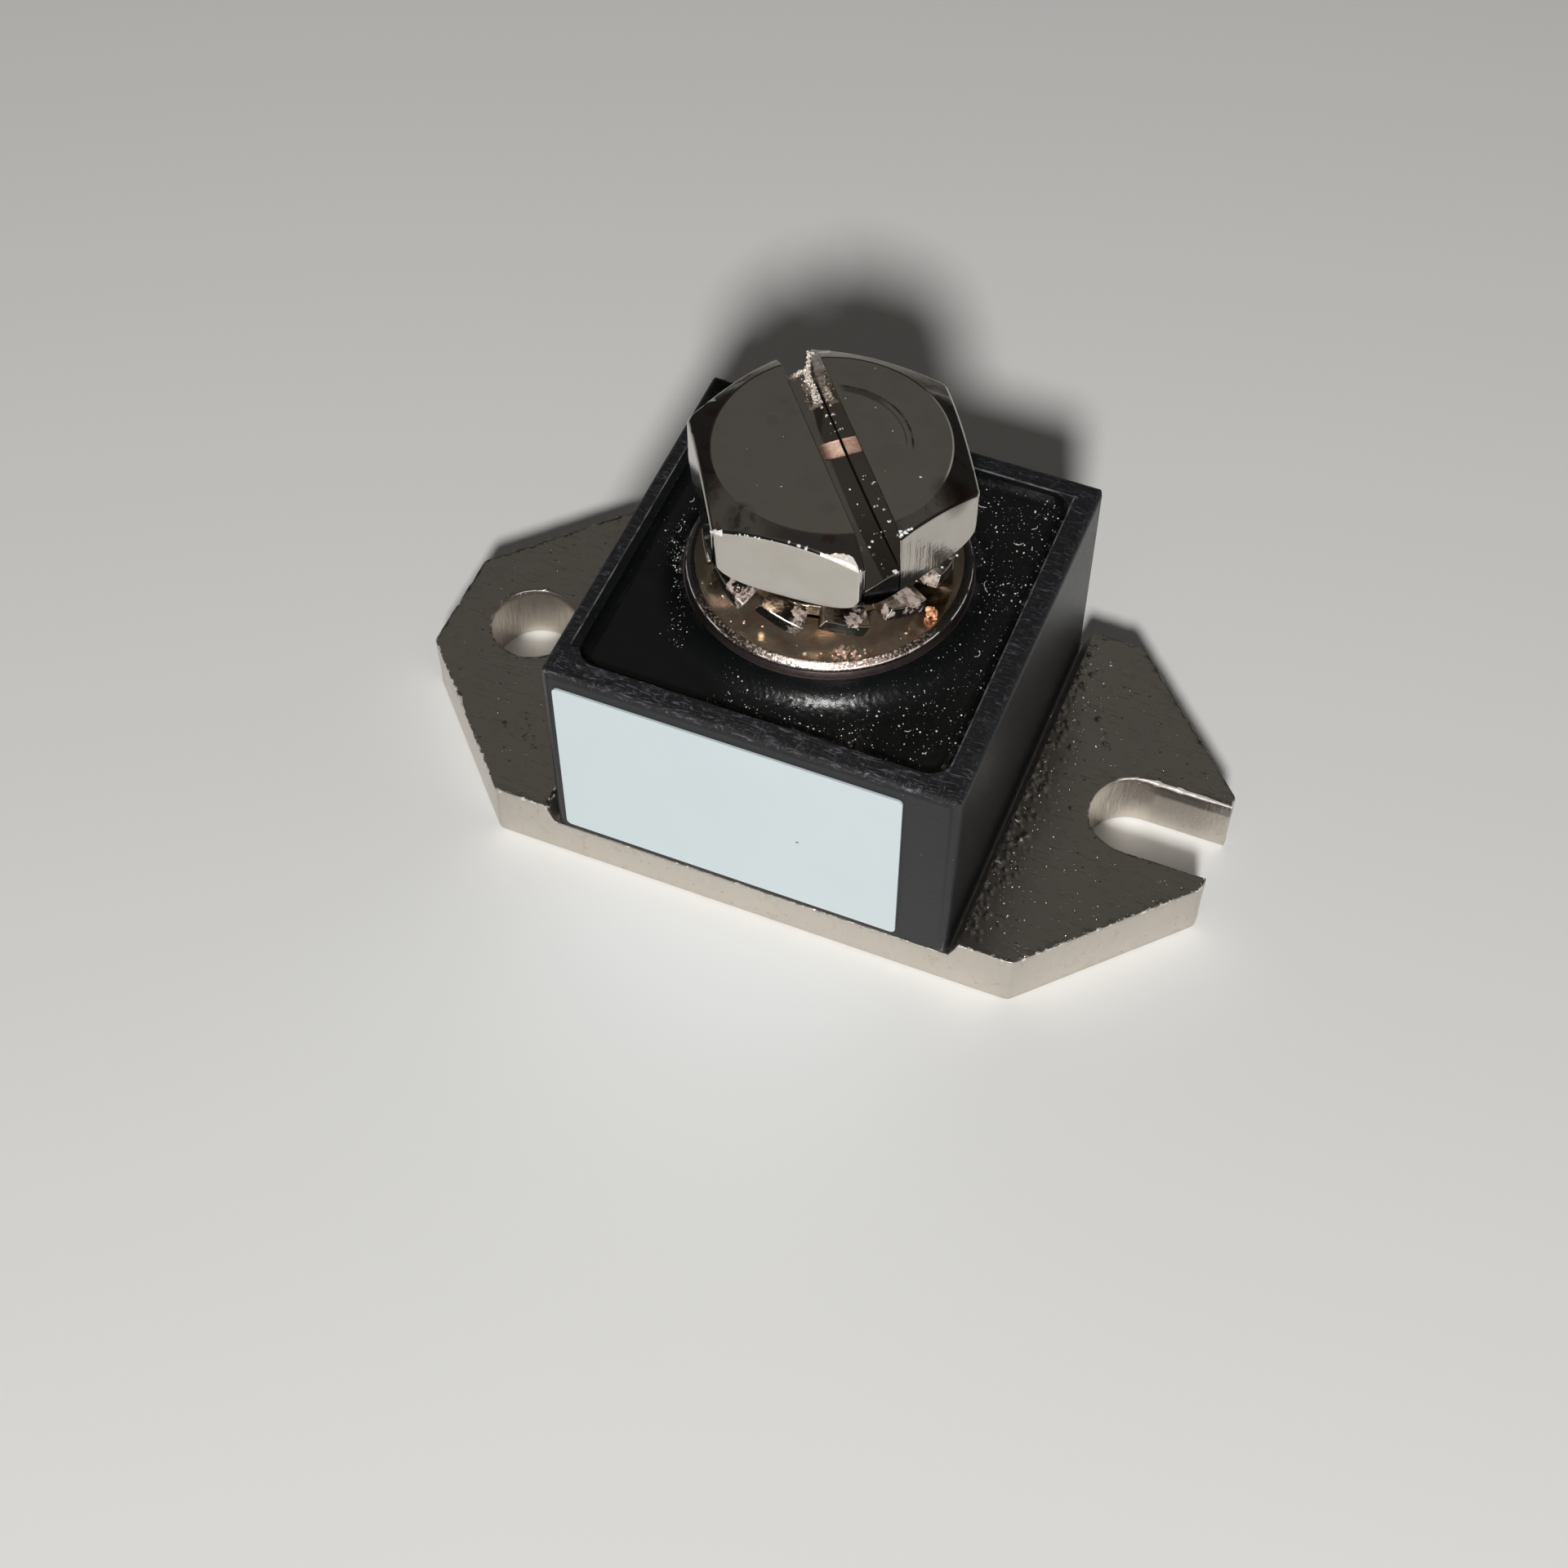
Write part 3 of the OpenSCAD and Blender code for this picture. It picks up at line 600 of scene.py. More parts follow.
def sheet(name, grid, thick, material):
    """A closed sheet over a grid of points, thickened against its own normals."""
    rows, columns = len(grid), len(grid[0])
    front = [p for row in grid for p in row]
    normals = []
    for i in range(rows):
        for k in range(columns):
            a = grid[min(i + 1, rows - 1)][k] - grid[max(i - 1, 0)][k]
            b = grid[i][min(k + 1, columns - 1)] - grid[i][max(k - 1, 0)]
            normals.append(a.cross(b).normalized())
    verts = front + [p - n * thick for p, n in zip(front, normals)]
    back = rows * columns
    faces = []
    for face in grid_faces(rows, columns, closed=False):
        faces += [face, tuple(back + j for j in reversed(face))]
    border = list(range(columns)) + [i * columns + columns - 1 for i in range(1, rows)]
    border += [(rows - 1) * columns + k for k in range(columns - 2, -1, -1)]
    border += [i * columns for i in range(rows - 2, 0, -1)]
    faces += [(a, b, back + b, back + a) for a, b in zip(border, border[1:] + border[:1])]
    piece(name, verts, faces, material, crease=35)


# Base plate

OUTLINE_STEP = 0.13  # longest step between the points of an outline
SIDE_ROWS = 9
FINE_GRID_END = 12.6  # the grid of the +X ear is fine up to here
RIM_CLEARANCE = 0.06  # grid points nearer to a rim than this are left out
SLIVER = 1e-3  # twice the area under which a triangle is a sliver


def outlines(node):
    """Closed outlines of a node's flat bottom, with the material on their left."""
    bm = welded(node)
    following = {}
    for face in bm.faces:
        if face.normal.z > -0.9:
            continue
        for loop in face.loops:
            others = [f for f in loop.edge.link_faces if f is not face]
            if all(f.normal.z > -0.9 for f in others):
                a, b = loop.vert.co, loop.link_loop_next.vert.co
                # a bottom face turns clockwise seen from above, so its edges run the other way
                following[tuple(round(c, 4) for c in b[:2])] = tuple(round(c, 4) for c in a[:2])
    bm.free()
    loops = []
    while following:
        loop, here = [], next(iter(following))
        while here in following:
            loop.append(here)
            here = following.pop(here)
        loops.append(loop)
    return sorted(loops, key=len, reverse=True)


def plate_top(x):
    """Height of the plate's upper face: the two ears over the coined seat."""
    up_step = min(1.0, max(0.0, (abs(x) - STEP_FOOT) / (STEP_HEAD - STEP_FOOT)))
    return SEAT_TOP + (PLATE_TOP - SEAT_TOP) * up_step


def resampled(loop, spacing, stops):
    """The loop with its long stretches divided, and points where it crosses the stops in x."""
    made = []
    for a, b in zip(loop, loop[1:] + loop[:1]):
        a, b = Vector(a), Vector(b)
        count = max(1, math.ceil((b - a).length / spacing))
        cuts = {k / count for k in range(count)}
        for stop in stops:
            if (a.x - stop) * (b.x - stop) < 0:
                cuts.add((stop - a.x) / (b.x - a.x))
        kept = []
        for t in sorted(cuts):
            if not kept or (t - kept[-1]) * (b - a).length > 0.01:
                kept.append(t)
        made += [a.lerp(b, t) for t in kept]
    return made


def inward(loop):
    """Unit normals of a loop towards the material, lengthened at corners."""
    made = []
    for i, p in enumerate(loop):
        before = (p - loop[i - 1]).normalized()
        after = (loop[(i + 1) % len(loop)] - p).normalized()
        n = Vector((-before.y - after.y, before.x + after.x))
        n.normalize()
        half = max(0.7, n.dot(Vector((-after.y, after.x))))
        made.append(n / half)
    return made


def inside(points, loops):
    """Even-odd test of many points against all the loops."""
    odd = np.zeros(len(points), bool)
    x, y = points[:, 0], points[:, 1]
    for loop in loops:
        a = np.array([tuple(p) for p in loop])
        b = np.roll(a, -1, axis=0)
        for (x0, y0), (x1, y1) in zip(a, b):
            if y0 == y1:
                continue
            crosses = (y0 > y) != (y1 > y)
            odd ^= crosses & (x < (x1 - x0) * (y - y0) / (y1 - y0) + x0)
    return odd


def blisters():
    """Raised spots of the plating (x, y, radius, height), thick beside the step that faces +X."""
    rng = random.Random(11)
    spots = [(10.63, 9.2, 0.13, 0.05), (9.85, 3.23, 0.16, 0.07), (9.85, 0.83, 0.14, 0.06),
             (10.75, -0.25, 0.15, 0.07), (10.84, -2.92, 0.17, 0.07), (11.83, 4.61, 0.15, 0.06),
             (12.55, 3.36, 0.11, 0.05), (12.28, -0.72, 0.1, 0.05), (10.2, -4.9, 0.16, 0.07)]
    for _ in range(300):
        x = STEP_FOOT + 0.05 + abs(rng.gauss(0, 0.6))
        spots.append((x, rng.uniform(-9.0, 8.8), rng.uniform(0.06, 0.13), rng.uniform(0.025, 0.065)))
    for _ in range(26):
        x, y = rng.uniform(11, 18), rng.uniform(-7, 7)
        spots.append((x, y, rng.uniform(0.06, 0.11), rng.uniform(0.01, 0.03)))
    for _ in range(22):
        x, y = rng.gauss(-13.1, 0.7), rng.gauss(-6.4, 0.6)
        spots.append((x, y, rng.uniform(0.08, 0.15), rng.uniform(0.015, 0.045)))
    return np.array(spots)


def stamped_height(x, y, spots):
    """Height of the plate's upper face with its blisters."""
    z = plate_top(x)
    if abs(x) > STEP_FOOT:
        d = (spots[:, 0] - x) ** 2 + (spots[:, 1] - y) ** 2
        z += float((spots[:, 3] * np.exp(-d / (0.45 * spots[:, 2] ** 2))).sum())
        z += 0.006 * ripple(x * 0.5, y * 0.5, 3.0)
    return z


def sheared_side(p):
    """Section of the plate's side at a point of its outline, from the floor up: (distance inward, height)."""
    top, bottom = plate_top(p.x), 0.1
    chip = ease(ripple(p.x * 1.9, p.y * 1.9, 7.0), 0.25, 0.5)
    edge = 0.1 + 0.045 * ripple(p.x * 1.3, p.y * 1.3) + 0.1 * chip
    if 1.9 < p.y < 2.3:
        edge += 0.05 * ease(p.x, 14.5, 15.5) * ease(p.x, 18.6, 17.8)
    edge += 0.22 * math.exp(-((p.x + 16.6) ** 2 + (p.y + 5.3) ** 2) / 0.16)
    section = [(0.09, 0.0), (0.03, 0.03), (0.0, bottom)]
    for k in range(1, SIDE_ROWS):
        z = bottom + (top - edge - bottom) * k / SIDE_ROWS
        tear = ripple(p.x * 2.6, p.y * 2.6, z * 0.8) * 0.5 + 0.5
        section.append((0.035 * tear * (1 - 0.4 * k / SIDE_ROWS), z))
    for a in (0, 24, 48, 70, 90):
        c, s = cos_sin(a)
        shake = 0.022 * ripple(p.x * 6, p.y * 6, a * 0.05) if 0 < a < 90 else 0.0
        section.append((edge * (1 - c) + abs(shake), top - edge * (1 - s) + shake))
    return section


def plate_grid(rims):
    """Points over the upper face inside its rims: fine where it is blistered, coarse elsewhere."""
    grid = []
    on_step, fine = np.arange(STEP_FOOT, STEP_HEAD, 0.075), np.arange(STEP_HEAD, FINE_GRID_END, 0.085)
    for x in np.concatenate([on_step, fine, np.arange(FINE_GRID_END, 19, 0.3)]):
        grid += [(x, y) for y in np.arange(-9.5, 9.5, 0.09 if x < FINE_GRID_END else 0.3)]
    for x in np.concatenate([[STEP_FOOT, 9.8, STEP_HEAD], np.arange(10.2, 19, 0.22)]):
        grid += [(-x, y) for y in np.arange(-9.5, 9.5, 0.22)]
    grid += [(x, y) for x in np.arange(-14.6, -11.6, 0.08) for y in np.arange(-7.8, -5.0, 0.08)]
    grid = np.array(grid)
    grid = grid[inside(grid, rims)]
    edge = np.array([p for rim in rims for p in rim])
    clear = np.array([((edge - g) ** 2).sum(1).min() for g in grid]) > RIM_CLEARANCE ** 2
    return [tuple(g) for g in grid[clear]]


def reached(tris, fence, keep, areas):
    """The triangles that a spread from the largest one inside reaches before the fence.

    Slivers along a straight ring are too thin for the test of their middles, so they are let through.
    """
    beside = {}
    for n, t in enumerate(tris):
        for k in range(3):
            side = frozenset((t[k - 1], t[k]))
            if side not in fence:
                beside.setdefault(side, []).append(n)
    queue = [max((n for n in range(len(tris)) if keep[n]), key=lambda n: areas[n])]
    found = set(queue)
    while queue:
        t = tris[queue.pop()]
        for k in range(3):
            for n in beside.get(frozenset((t[k - 1], t[k])), ()):
                if n not in found and (keep[n] or areas[n] < SLIVER):
                    found.add(n)
                    queue.append(n)
    return sorted(found)


def filled(verts, rings, extra, height):
    """Triangles between rings, which are lists of places in verts; extra points are added to verts."""
    known = [i for ring in rings for i in ring]
    points = [Vector(verts[i][:2]) for i in known] + [Vector(p) for p in extra]
    edges, start = [], 0
    for ring in rings:
        edges += [(start + k, start + (k + 1) % len(ring)) for k in range(len(ring))]
        start += len(ring)
    out, _, tris, came_from, _, _ = delaunay_2d_cdt(points, edges, [], 0, 1e-6)
    index = []
    for p, origin in zip(out, came_from):
        if origin and min(origin) < len(known):
            index.append(known[min(origin)])
        else:
            verts.append((p.x, p.y, height(p.x, p.y)))
            index.append(len(verts) - 1)
    middles = np.array([sum((out[i] for i in t), Vector((0, 0))) / 3 for t in tris])
    keep = inside(middles, [[verts[i][:2] for i in ring] for ring in rings])
    areas = [abs((out[b] - out[a]).cross(out[c] - out[a])) for a, b, c in tris]
    fence = {frozenset((ring[k - 1], ring[k])) for ring in rings for k in range(len(ring))}
    made = [tuple(index[i] for i in t) for t in tris]
    return [made[n] for n in reached(made, fence, keep, areas)]


def base_plate():
    """The stamped plate: sheared sides, rounded upper edges and blistered ears."""
    verts, faces, rims, floors = [], [], [], []
    for outline in outlines("base_plate"):
        loop = resampled(outline, OUTLINE_STEP, (-STEP_HEAD, -STEP_FOOT, STEP_FOOT, STEP_HEAD))
        base = len(verts)
        for p, n in zip(loop, inward(loop)):
            section = sheared_side(p)
            for inset, z in section:
                q = p + n * inset
                verts.append((q.x, q.y, z))
        high = len(section)
        faces += grid_faces(len(loop), high, base)
        floors.append([base + i * high for i in range(len(loop))])
        rims.append([i + high - 1 for i in floors[-1]])
    spots = blisters()
    grid = plate_grid([[verts[i][:2] for i in ring] for ring in rims])
    faces += filled(verts, rims, grid, lambda x, y: stamped_height(x, y, spots))
    faces += [tuple(reversed(t)) for t in filled(verts, floors, [], lambda x, y: 0.0)]
    made = piece("base_plate_stamped", verts, faces, MATERIALS["base_plate"], crease=50)
    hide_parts("base_plate")


# Terminal and casting resin

POST = ((POST_R, GROOVE_Z[0]), (GROOVE_R, GROOVE_Z[0]), (GROOVE_R, GROOVE_Z[1]), (POST_R, GROOVE_Z[1]),
        (POST_R, DISC_UNDER), (DISC_R, DISC_UNDER))
RESIN_AROUND, RESIN_ACROSS, TERMINAL_AROUND = 760, 58, 360
JUST_INSIDE = 0.99999  # keeps the resin's outermost points off the wall
SPECK_GAP = 0.12  # between the disc's side and the nearest speck


def turned_terminal():
    """The terminal turned from one profile, with the bevel and ledge round its rim."""
    verts = []
    for i in range(TERMINAL_AROUND):
        a = math.tau * i / TERMINAL_AROUND
        # the bevel is a little narrower towards the label
        inner = 5.99 - 0.12 * max(0.0, math.cos(a + math.radians(70)))
        shake = 0.012 * ripple(math.cos(a) * 22, math.sin(a) * 22)
        path = [(4.3, 6.9), (POST_R, 7.4), *POST, (DISC_R, 13.84), (DISC_R - 0.015, 13.87),
                (inner + 0.29, 13.97), (inner + 0.25, 14.0), (inner + 0.24 + shake, 14.1),
                (inner + 0.23 + shake, 14.14),
                (inner + 0.2 + shake, 14.185), (inner + 0.13, 14.26 + shake), (inner + 0.06, 14.33 - shake),
                (inner + 0.01, 14.375), (inner - 0.03, 14.39), (inner - 0.08, 14.398),
                (inner - 0.16, DISC_TOP), (5.2, DISC_TOP), (4.4, DISC_TOP), (MOUTH_R, DISC_TOP),
                (BORE_R, MOUTH_Z), (BORE_R, BORE_FLOOR)]
        verts += [(r * math.cos(a), r * math.sin(a), z) for r, z in path]
    high = len(path)
    faces = grid_faces(TERMINAL_AROUND, high)
    faces.append(tuple(reversed(range(0, len(verts), high))))
    faces.append(tuple(range(high - 1, len(verts), high)))
    made = piece("terminal_turned", verts, faces, MATERIALS["terminal"], crease=28)
    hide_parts("terminal")


def wall_gap(x, y):
    """Distance to the frame's inner wall."""
    qx, qy = abs(x) - (CAVITY - CAVITY_R), abs(y) - (CAVITY - CAVITY_R)
    if qx > 0 and qy > 0:
        return CAVITY_R - math.hypot(qx, qy)
    return CAVITY - max(abs(x), abs(y))


def wall_reach(c, s):
    """Distance from the axis to the wall in the direction whose cosine and sine are given."""
    low, high = DISC_R, 12.0  # 12 mm is beyond the cavity's corners
    for _ in range(40):
        middle = (low + high) / 2
        if wall_gap(middle * c, middle * s) > 0:
            low = middle
        else:
            high = middle
    return low


def meniscus(gap, size):
    """Height of a concave rise of that size at a distance from the wall that it climbs."""
    if gap >= size:
        return 0.0
    return size - math.sqrt(max(0.0, size ** 2 - (size - gap) ** 2))


def pebbling(x, y):
    """How pebbled the resin is at a point: smooth in the corner at -X -Y."""
    smooth_corner = ease(math.hypot(x + 6.6, y + 6.4) + 1.2 * ripple(x * 0.5, y * 0.5), 4.6, 3.0)
    left = ease(x, -6.6, -6.2) if x < -6.0 and y < 4 else 1.0
    return (1 - smooth_corner) * (0.35 + 0.65 * left)


def resin_height(x, y):
    """Height of the resin between its rises at the wall and at the disc, with its pebbles, swell and scar."""
    r = math.hypot(x, y)
    z = RESIN_Z + meniscus(wall_gap(x, y), WALL_RISE) + meniscus(r - DISC_R, COLLAR_RISE)
    free = ease(r - DISC_R, 0.05, 0.3) * ease(wall_gap(x, y), 0.03, 0.2)
    z += free * 0.02 * ripple(x * 0.7, y * 0.7, 5.0)
    swell = math.exp(-(((x - 2.2) / 1.1) ** 2 + ((y + 7.62) / 0.22) ** 2))
    scar = math.exp(-(((x + 1.9) / 0.35) ** 2 + ((y + 6.9) / 0.2) ** 2))
    z += free * (0.07 * swell + 0.05 * scar * (0.5 + ripple(x * 7, y * 7)))
    much = pebbling(x, y)
    if much > 0.02:
        gaps, sites = noise.voronoi(Vector((x * 4.3, y * 4.3, 0.5)))
        chance = noise.cell(sites[0] * 9.7) * 0.5 + 0.5
        if chance < 0.55 * much:
            z += free * 0.055 * ease(gaps[0], 0.42, 0.05) * (0.4 + chance)
        z += free * much * 0.018 * ripple(x * 5.5, y * 5.5, 1.0)
    return z


def potting_resin():
    """The casting resin, whose upper surface carries its rises and pebbles."""
    verts, faces = [], []
    for i in range(RESIN_AROUND):
        a = math.tau * i / RESIN_AROUND
        c, s = math.cos(a), math.sin(a)
        reach = wall_reach(c, s)
        for k in range(RESIN_ACROSS + 1):
            t = 0.5 - 0.5 * math.cos(math.pi * k / RESIN_ACROSS)
            r = DISC_R + (reach - DISC_R) * t
            verts.append((r * c, r * s, resin_height(r * c * JUST_INSIDE, r * s * JUST_INSIDE)))
        # down the wall, under the resin and up the post to the disc
        verts += [(r * c, r * s, z) for r, z in ((reach, GEL_Z), (POST_R, GEL_Z), *POST)]
    high = len(verts) // RESIN_AROUND
    for i in range(RESIN_AROUND):
        here, following = i * high, (i + 1) % RESIN_AROUND * high
        for k in range(high):
            n = (k + 1) % high
            faces.append((here + k, here + n, following + n, following + k))
    made = piece("potting_resin_cast", verts, faces, MATERIALS["potting_resin"], crease=60)
    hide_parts("potting_resin")


def resin_specks():
    """Pale filler grains and a few hairs that lie on the resin."""
    rng = random.Random(5)
    spots = []

    def drop(x, y, size):
        spots.append(((x, y, resin_height(x, y) + size * 0.2), size))

    while len(spots) < 1000:
        x, y = rng.uniform(-8.2, 8.2), rng.uniform(-8.2, 8.2)
        hidden = math.hypot(x, y) < DISC_R + SPECK_GAP or wall_gap(x, y) < 0.1
        if not hidden and rng.random() <= pebbling(x, y) ** 2:
            drop(x, y, 0.01 + 0.034 * rng.random() ** 4)
    # glints in a band beside the terminal, on the smooth side
    start, end = (-7.7, 0.9), (-4.6, -5.9)
    for _ in range(150):
        t = rng.random()
        x, y = (a + (b - a) * t + rng.gauss(0, 0.28) for a, b in zip(start, end))
        if math.hypot(x, y) > DISC_R + SPECK_GAP and wall_gap(x, y) > 0.1:
            drop(x, y, 0.01 + 0.026 * rng.random() ** 3)
    grains("resin_specks", spots, SPECK, 8)
    verts, faces = [], []
    for x, y, turn, length in ((6.35, 2.3, -70, 0.7), (6.9, 5.4, 20, 0.5), (7.3, 6.6, 60, 0.4),
                               (4.6, 6.9, -10, 0.5), (7.4, -1.2, 80, 0.35), (6.0, -6.2, 30, 0.3),
                               (-7.3, 0.6, 100, 0.5), (-7.5, 2.4, 75, 0.35)):
        path = []
        for k in range(9):
            t = k / 8 - 0.5
            a = math.radians(turn) + t * 0.9
            px, py = x + length * t * math.cos(a), y + length * t * math.sin(a)
            path.append(Vector((px, py, resin_height(px, py) + 0.02)))
        v, f = tube(path, 0.014)
        faces += [[i + len(verts) for i in face] for face in f]
        verts += v
    piece("resin_hairs", verts, faces, SPECK)


# Screw, washer and frame

def in_slot(u, v, z):
    """Point from the slot's own coordinates: u along it to the far end, v across it towards +X."""
    c, s = cos_sin(SLOT_TURN)
    v += SLOT_OFFSET
    return Vector((u * c + v * s, u * s - v * c, z))


def slot_place(p):
    """The slot's own coordinates u and v of a point."""
    c, s = cos_sin(SLOT_TURN)
    return p.x * c + p.y * s, p.x * s - p.y * c - SLOT_OFFSET


def slot_floor(u):
    return SLOT_FLOOR + SAW_R - math.sqrt(SAW_R ** 2 - u ** 2)


def head_rounding(edge):
    """How much of the full rounding an edge of the screw's head takes."""
    a, b = (v.co for v in edge.verts)
    p = (a + b) / 2
    if p.z < 18.4 or not edge.is_convex:
        return 0.0
    u, v = slot_place(p)
    if abs(v) < SLOT_HALF + 0.02:
        return 0.15
    if p.z > HEAD_TOP - DUST_ROOM - 0.01:
        return 0.18
    if abs(v) < SLOT_HALF + 0.35 and u < -4:
        return 0.12
    if math.hypot(a.x - b.x, a.y - b.y) < 0.01:
        return 0.25
    return 0.5 if p.z > 20 else 0.0


def cut_head(p):
    """Leans the slot's +X wall out a little towards its foot, and leaves room for dust on the head."""
    if abs(slot_place(p)[1] - SLOT_HALF) < 0.01 and 18.5 < p.z < 19.6:
        c, s = cos_sin(SLOT_TURN)
        return p + Vector((s, -c, 0)) * 0.07
    return Vector((p.x, p.y, min(p.z, HEAD_TOP - DUST_ROOM)))


def worn_teeth(p):
    """Draws the washer's teeth in to the reach that the photo shows, and turns them a little."""
    root, shrink = 4.4, 0.72
    r = math.hypot(p.x, p.y)
    drawn = 1.0 if r < root else (root + (r - root) * shrink) / r
    return Matrix.Rotation(math.radians(1.8), 3, "Z") @ Vector((p.x * drawn, p.y * drawn, p.z))


def teeth_rounding(edge):
    return 1.0 if edge.is_convex else 0.0


def rim_rounding(edge):
    """Rounds the frame's inner edge, where the resin meets it."""
    p = (edge.verts[0].co + edge.verts[1].co) / 2
    return 1.0 if p.z > RIM_Z - 0.01 and max(abs(p.x), abs(p.y)) < CAVITY + 0.05 and edge.is_convex else 0.0


def slot_scar():
    """Bare copper where a driver has torn the plating, in a strip across the slot's floor."""
    rows, columns = 40, 26

    def place(i, k):
        v, t = SLOT_HALF * (2 * i / rows - 1), k / columns
        ragged = 0.07 * ripple(v * 3.1, 4.0 * t, 2.0) if k in (0, columns) else 0
        streak = 0.016 * abs(ripple(v * 0.8, t * 9.0, 1.0)) + 0.012 * abs(ripple(v * 6.0, t * 14.0))
        lip = 0.03 * (ease(t, 0.12, 0.0) + ease(t, 0.88, 1.0)) * (0.6 + ripple(v * 5, t * 3))
        u = 1.32 + 0.06 * v + 0.86 * t + ragged
        return in_slot(u, v, slot_floor(u) + 0.012 + streak + lip)

    grid = [[place(i, k) for k in range(columns + 1)] for i in range(rows + 1)]
    sheet("slot_scar", grid, 0.012, BARE_COPPER)


def slot_burr():
    """Metal that a driver has pushed up at the far end of the slot, crumbled along its edge."""
    rng = random.Random(21)
    spots = []

    def put(u, v, z, r):
        spots.append((in_slot(u, v, z), r))

    # ridge along the end of the floor
    for k in range(110):
        v = -0.82 + 1.6 * k / 109
        end = min(5.98 + 0.42 * (v + SLOT_OFFSET), 6.88 - 0.753 * (v + SLOT_OFFSET))
        u, z = end + rng.uniform(-0.03, 0.03), slot_floor(6) + rng.uniform(0.0, 0.2)
        put(u, v, z, rng.uniform(0.022, 0.045))
    # lump that climbs the end of the wall
    for k in range(120):
        t = k / 119
        z, wide = 19.25 + 1.75 * t, 0.32 * (1 - 0.75 * t)
        u = 6.22 - 0.62 * ease(z, 20.5, 21.05) - rng.random() * wide
        v = 0.8 - rng.random() * 0.22 * (1 - 0.6 * t)
        put(u, v, z, rng.uniform(0.02, 0.055))
    # crumbs scraped along the floor beside that wall
    for k in range(230):
        t = (k / 229) ** 0.8
        u = 6.2 - 1.75 * t + rng.uniform(-0.1, 0.1)
        v = 0.66 + rng.uniform(-0.15, 0.13) * (1 + 0.3 * t)
        put(u, v, slot_floor(u) + rng.uniform(0.0, 0.05), rng.uniform(0.014, 0.042))
    for u, v, r in ((4.18, 0.72, 0.045), (3.67, 0.74, 0.05), (3.22, 0.8, 0.03), (2.75, 0.84, 0.035),
                    (5.9, 0.36, 0.04), (5.6, 0.28, 0.03), (5.3, 0.42, 0.05), (5.0, 0.3, 0.04),
                    (4.7, 0.16, 0.03), (5.75, 0.46, 0.05)):
        put(u, v, slot_floor(u) + 0.02, r)
    grains("slot_burr", spots, TORN_NICKEL, 3, rough=0.3)


def slot_smear():
    """Plating dragged across the floor below the burr."""
    rows, columns = 22, 22

    def place(i, k):
        u, t = 5.65 - 1.4 * i / rows, k / columns
        ragged = 0.1 * ripple(u * 3.0, 9.0) + 0.1 * ripple(u * 9.0, 2.0)
        v = (0.1 + 0.3 * abs(math.sin(u * 2.3)) + ragged) * (1 - t) + 0.74 * t
        down = 0.03 * ease(t, 0.25, 0.0) + 0.03 * max(0.0, ripple(u * 4, v * 4, 3.0))
        return in_slot(u, v, slot_floor(u) + 0.018 + 0.02 * ripple(u * 7, v * 3) - down)

    grid = [[place(i, k) for k in range(columns + 1)] for i in range(rows + 1)]
    sheet("slot_smear", grid, 0.012, SMEARED)


def painted_edge_highlight():
    """Pale torn plating along the right part of the front flat's upper edge, pale as a painted highlight."""
    steps = 48
    along, out = (Vector((*cos_sin(t), 0)) for t in (HEAD_TURN, HEAD_TURN - 90))
    grid = []
    for i in range(steps + 1):
        t = 1.42 + 1.62 * i / steps
        edge = along * t + out * HEAD_FLAT
        edge.z = HEAD_TOP - (math.hypot(edge.x, edge.y) - CROWN_R) * math.tan(math.radians(30))
        up_slope = Vector((-edge.x, -edge.y, 0)).normalized() * cos_sin(30)[0] + Vector((0, 0, 0.5))
        wide = 0.07 + 0.34 * ease(t, 1.5, 2.5) * ease(t, 3.12, 2.85) + 0.07 * ripple(t * 6, 1.3)
        low = 0.05 + 0.06 * ease(t, 1.8, 2.7) + 0.03 * ripple(t * 9, 4.1)
        row = [edge + Vector((0, 0, -low)) + out * 0.006, edge + Vector((0, 0, -low * 0.4)) - out * 0.012,
               edge + up_slope * 0.02 - out * 0.03]
        for k in range(1, 7):
            lift = Vector((0, 0, 0.008 + 0.012 * ripple(t * 14, k * 2.7)))
            row.append(edge + up_slope * (0.04 + wide * k / 6) + lift)
        grid.append(row)
    sheet("painted_edge_highlight", grid, 0.03, TORN_NICKEL)


# Dust, chips and crumbs

def plate_specks():
    """Pale grains that lie on the ear beside the frame."""
    rng = random.Random(41)
    spots = []
    for _ in range(120):
        x, y = STEP_HEAD + 0.15 + abs(rng.gauss(0, 1.3)), rng.uniform(-8.8, 8.4)
        if x < 12.3 or (x < 15 and 2.4 < abs(y) < 5):
            spots.append(((x, y, plate_top(x) + 0.004), 0.01 + 0.026 * rng.random() ** 3))
    grains("plate_specks", spots, SPECK, 42)


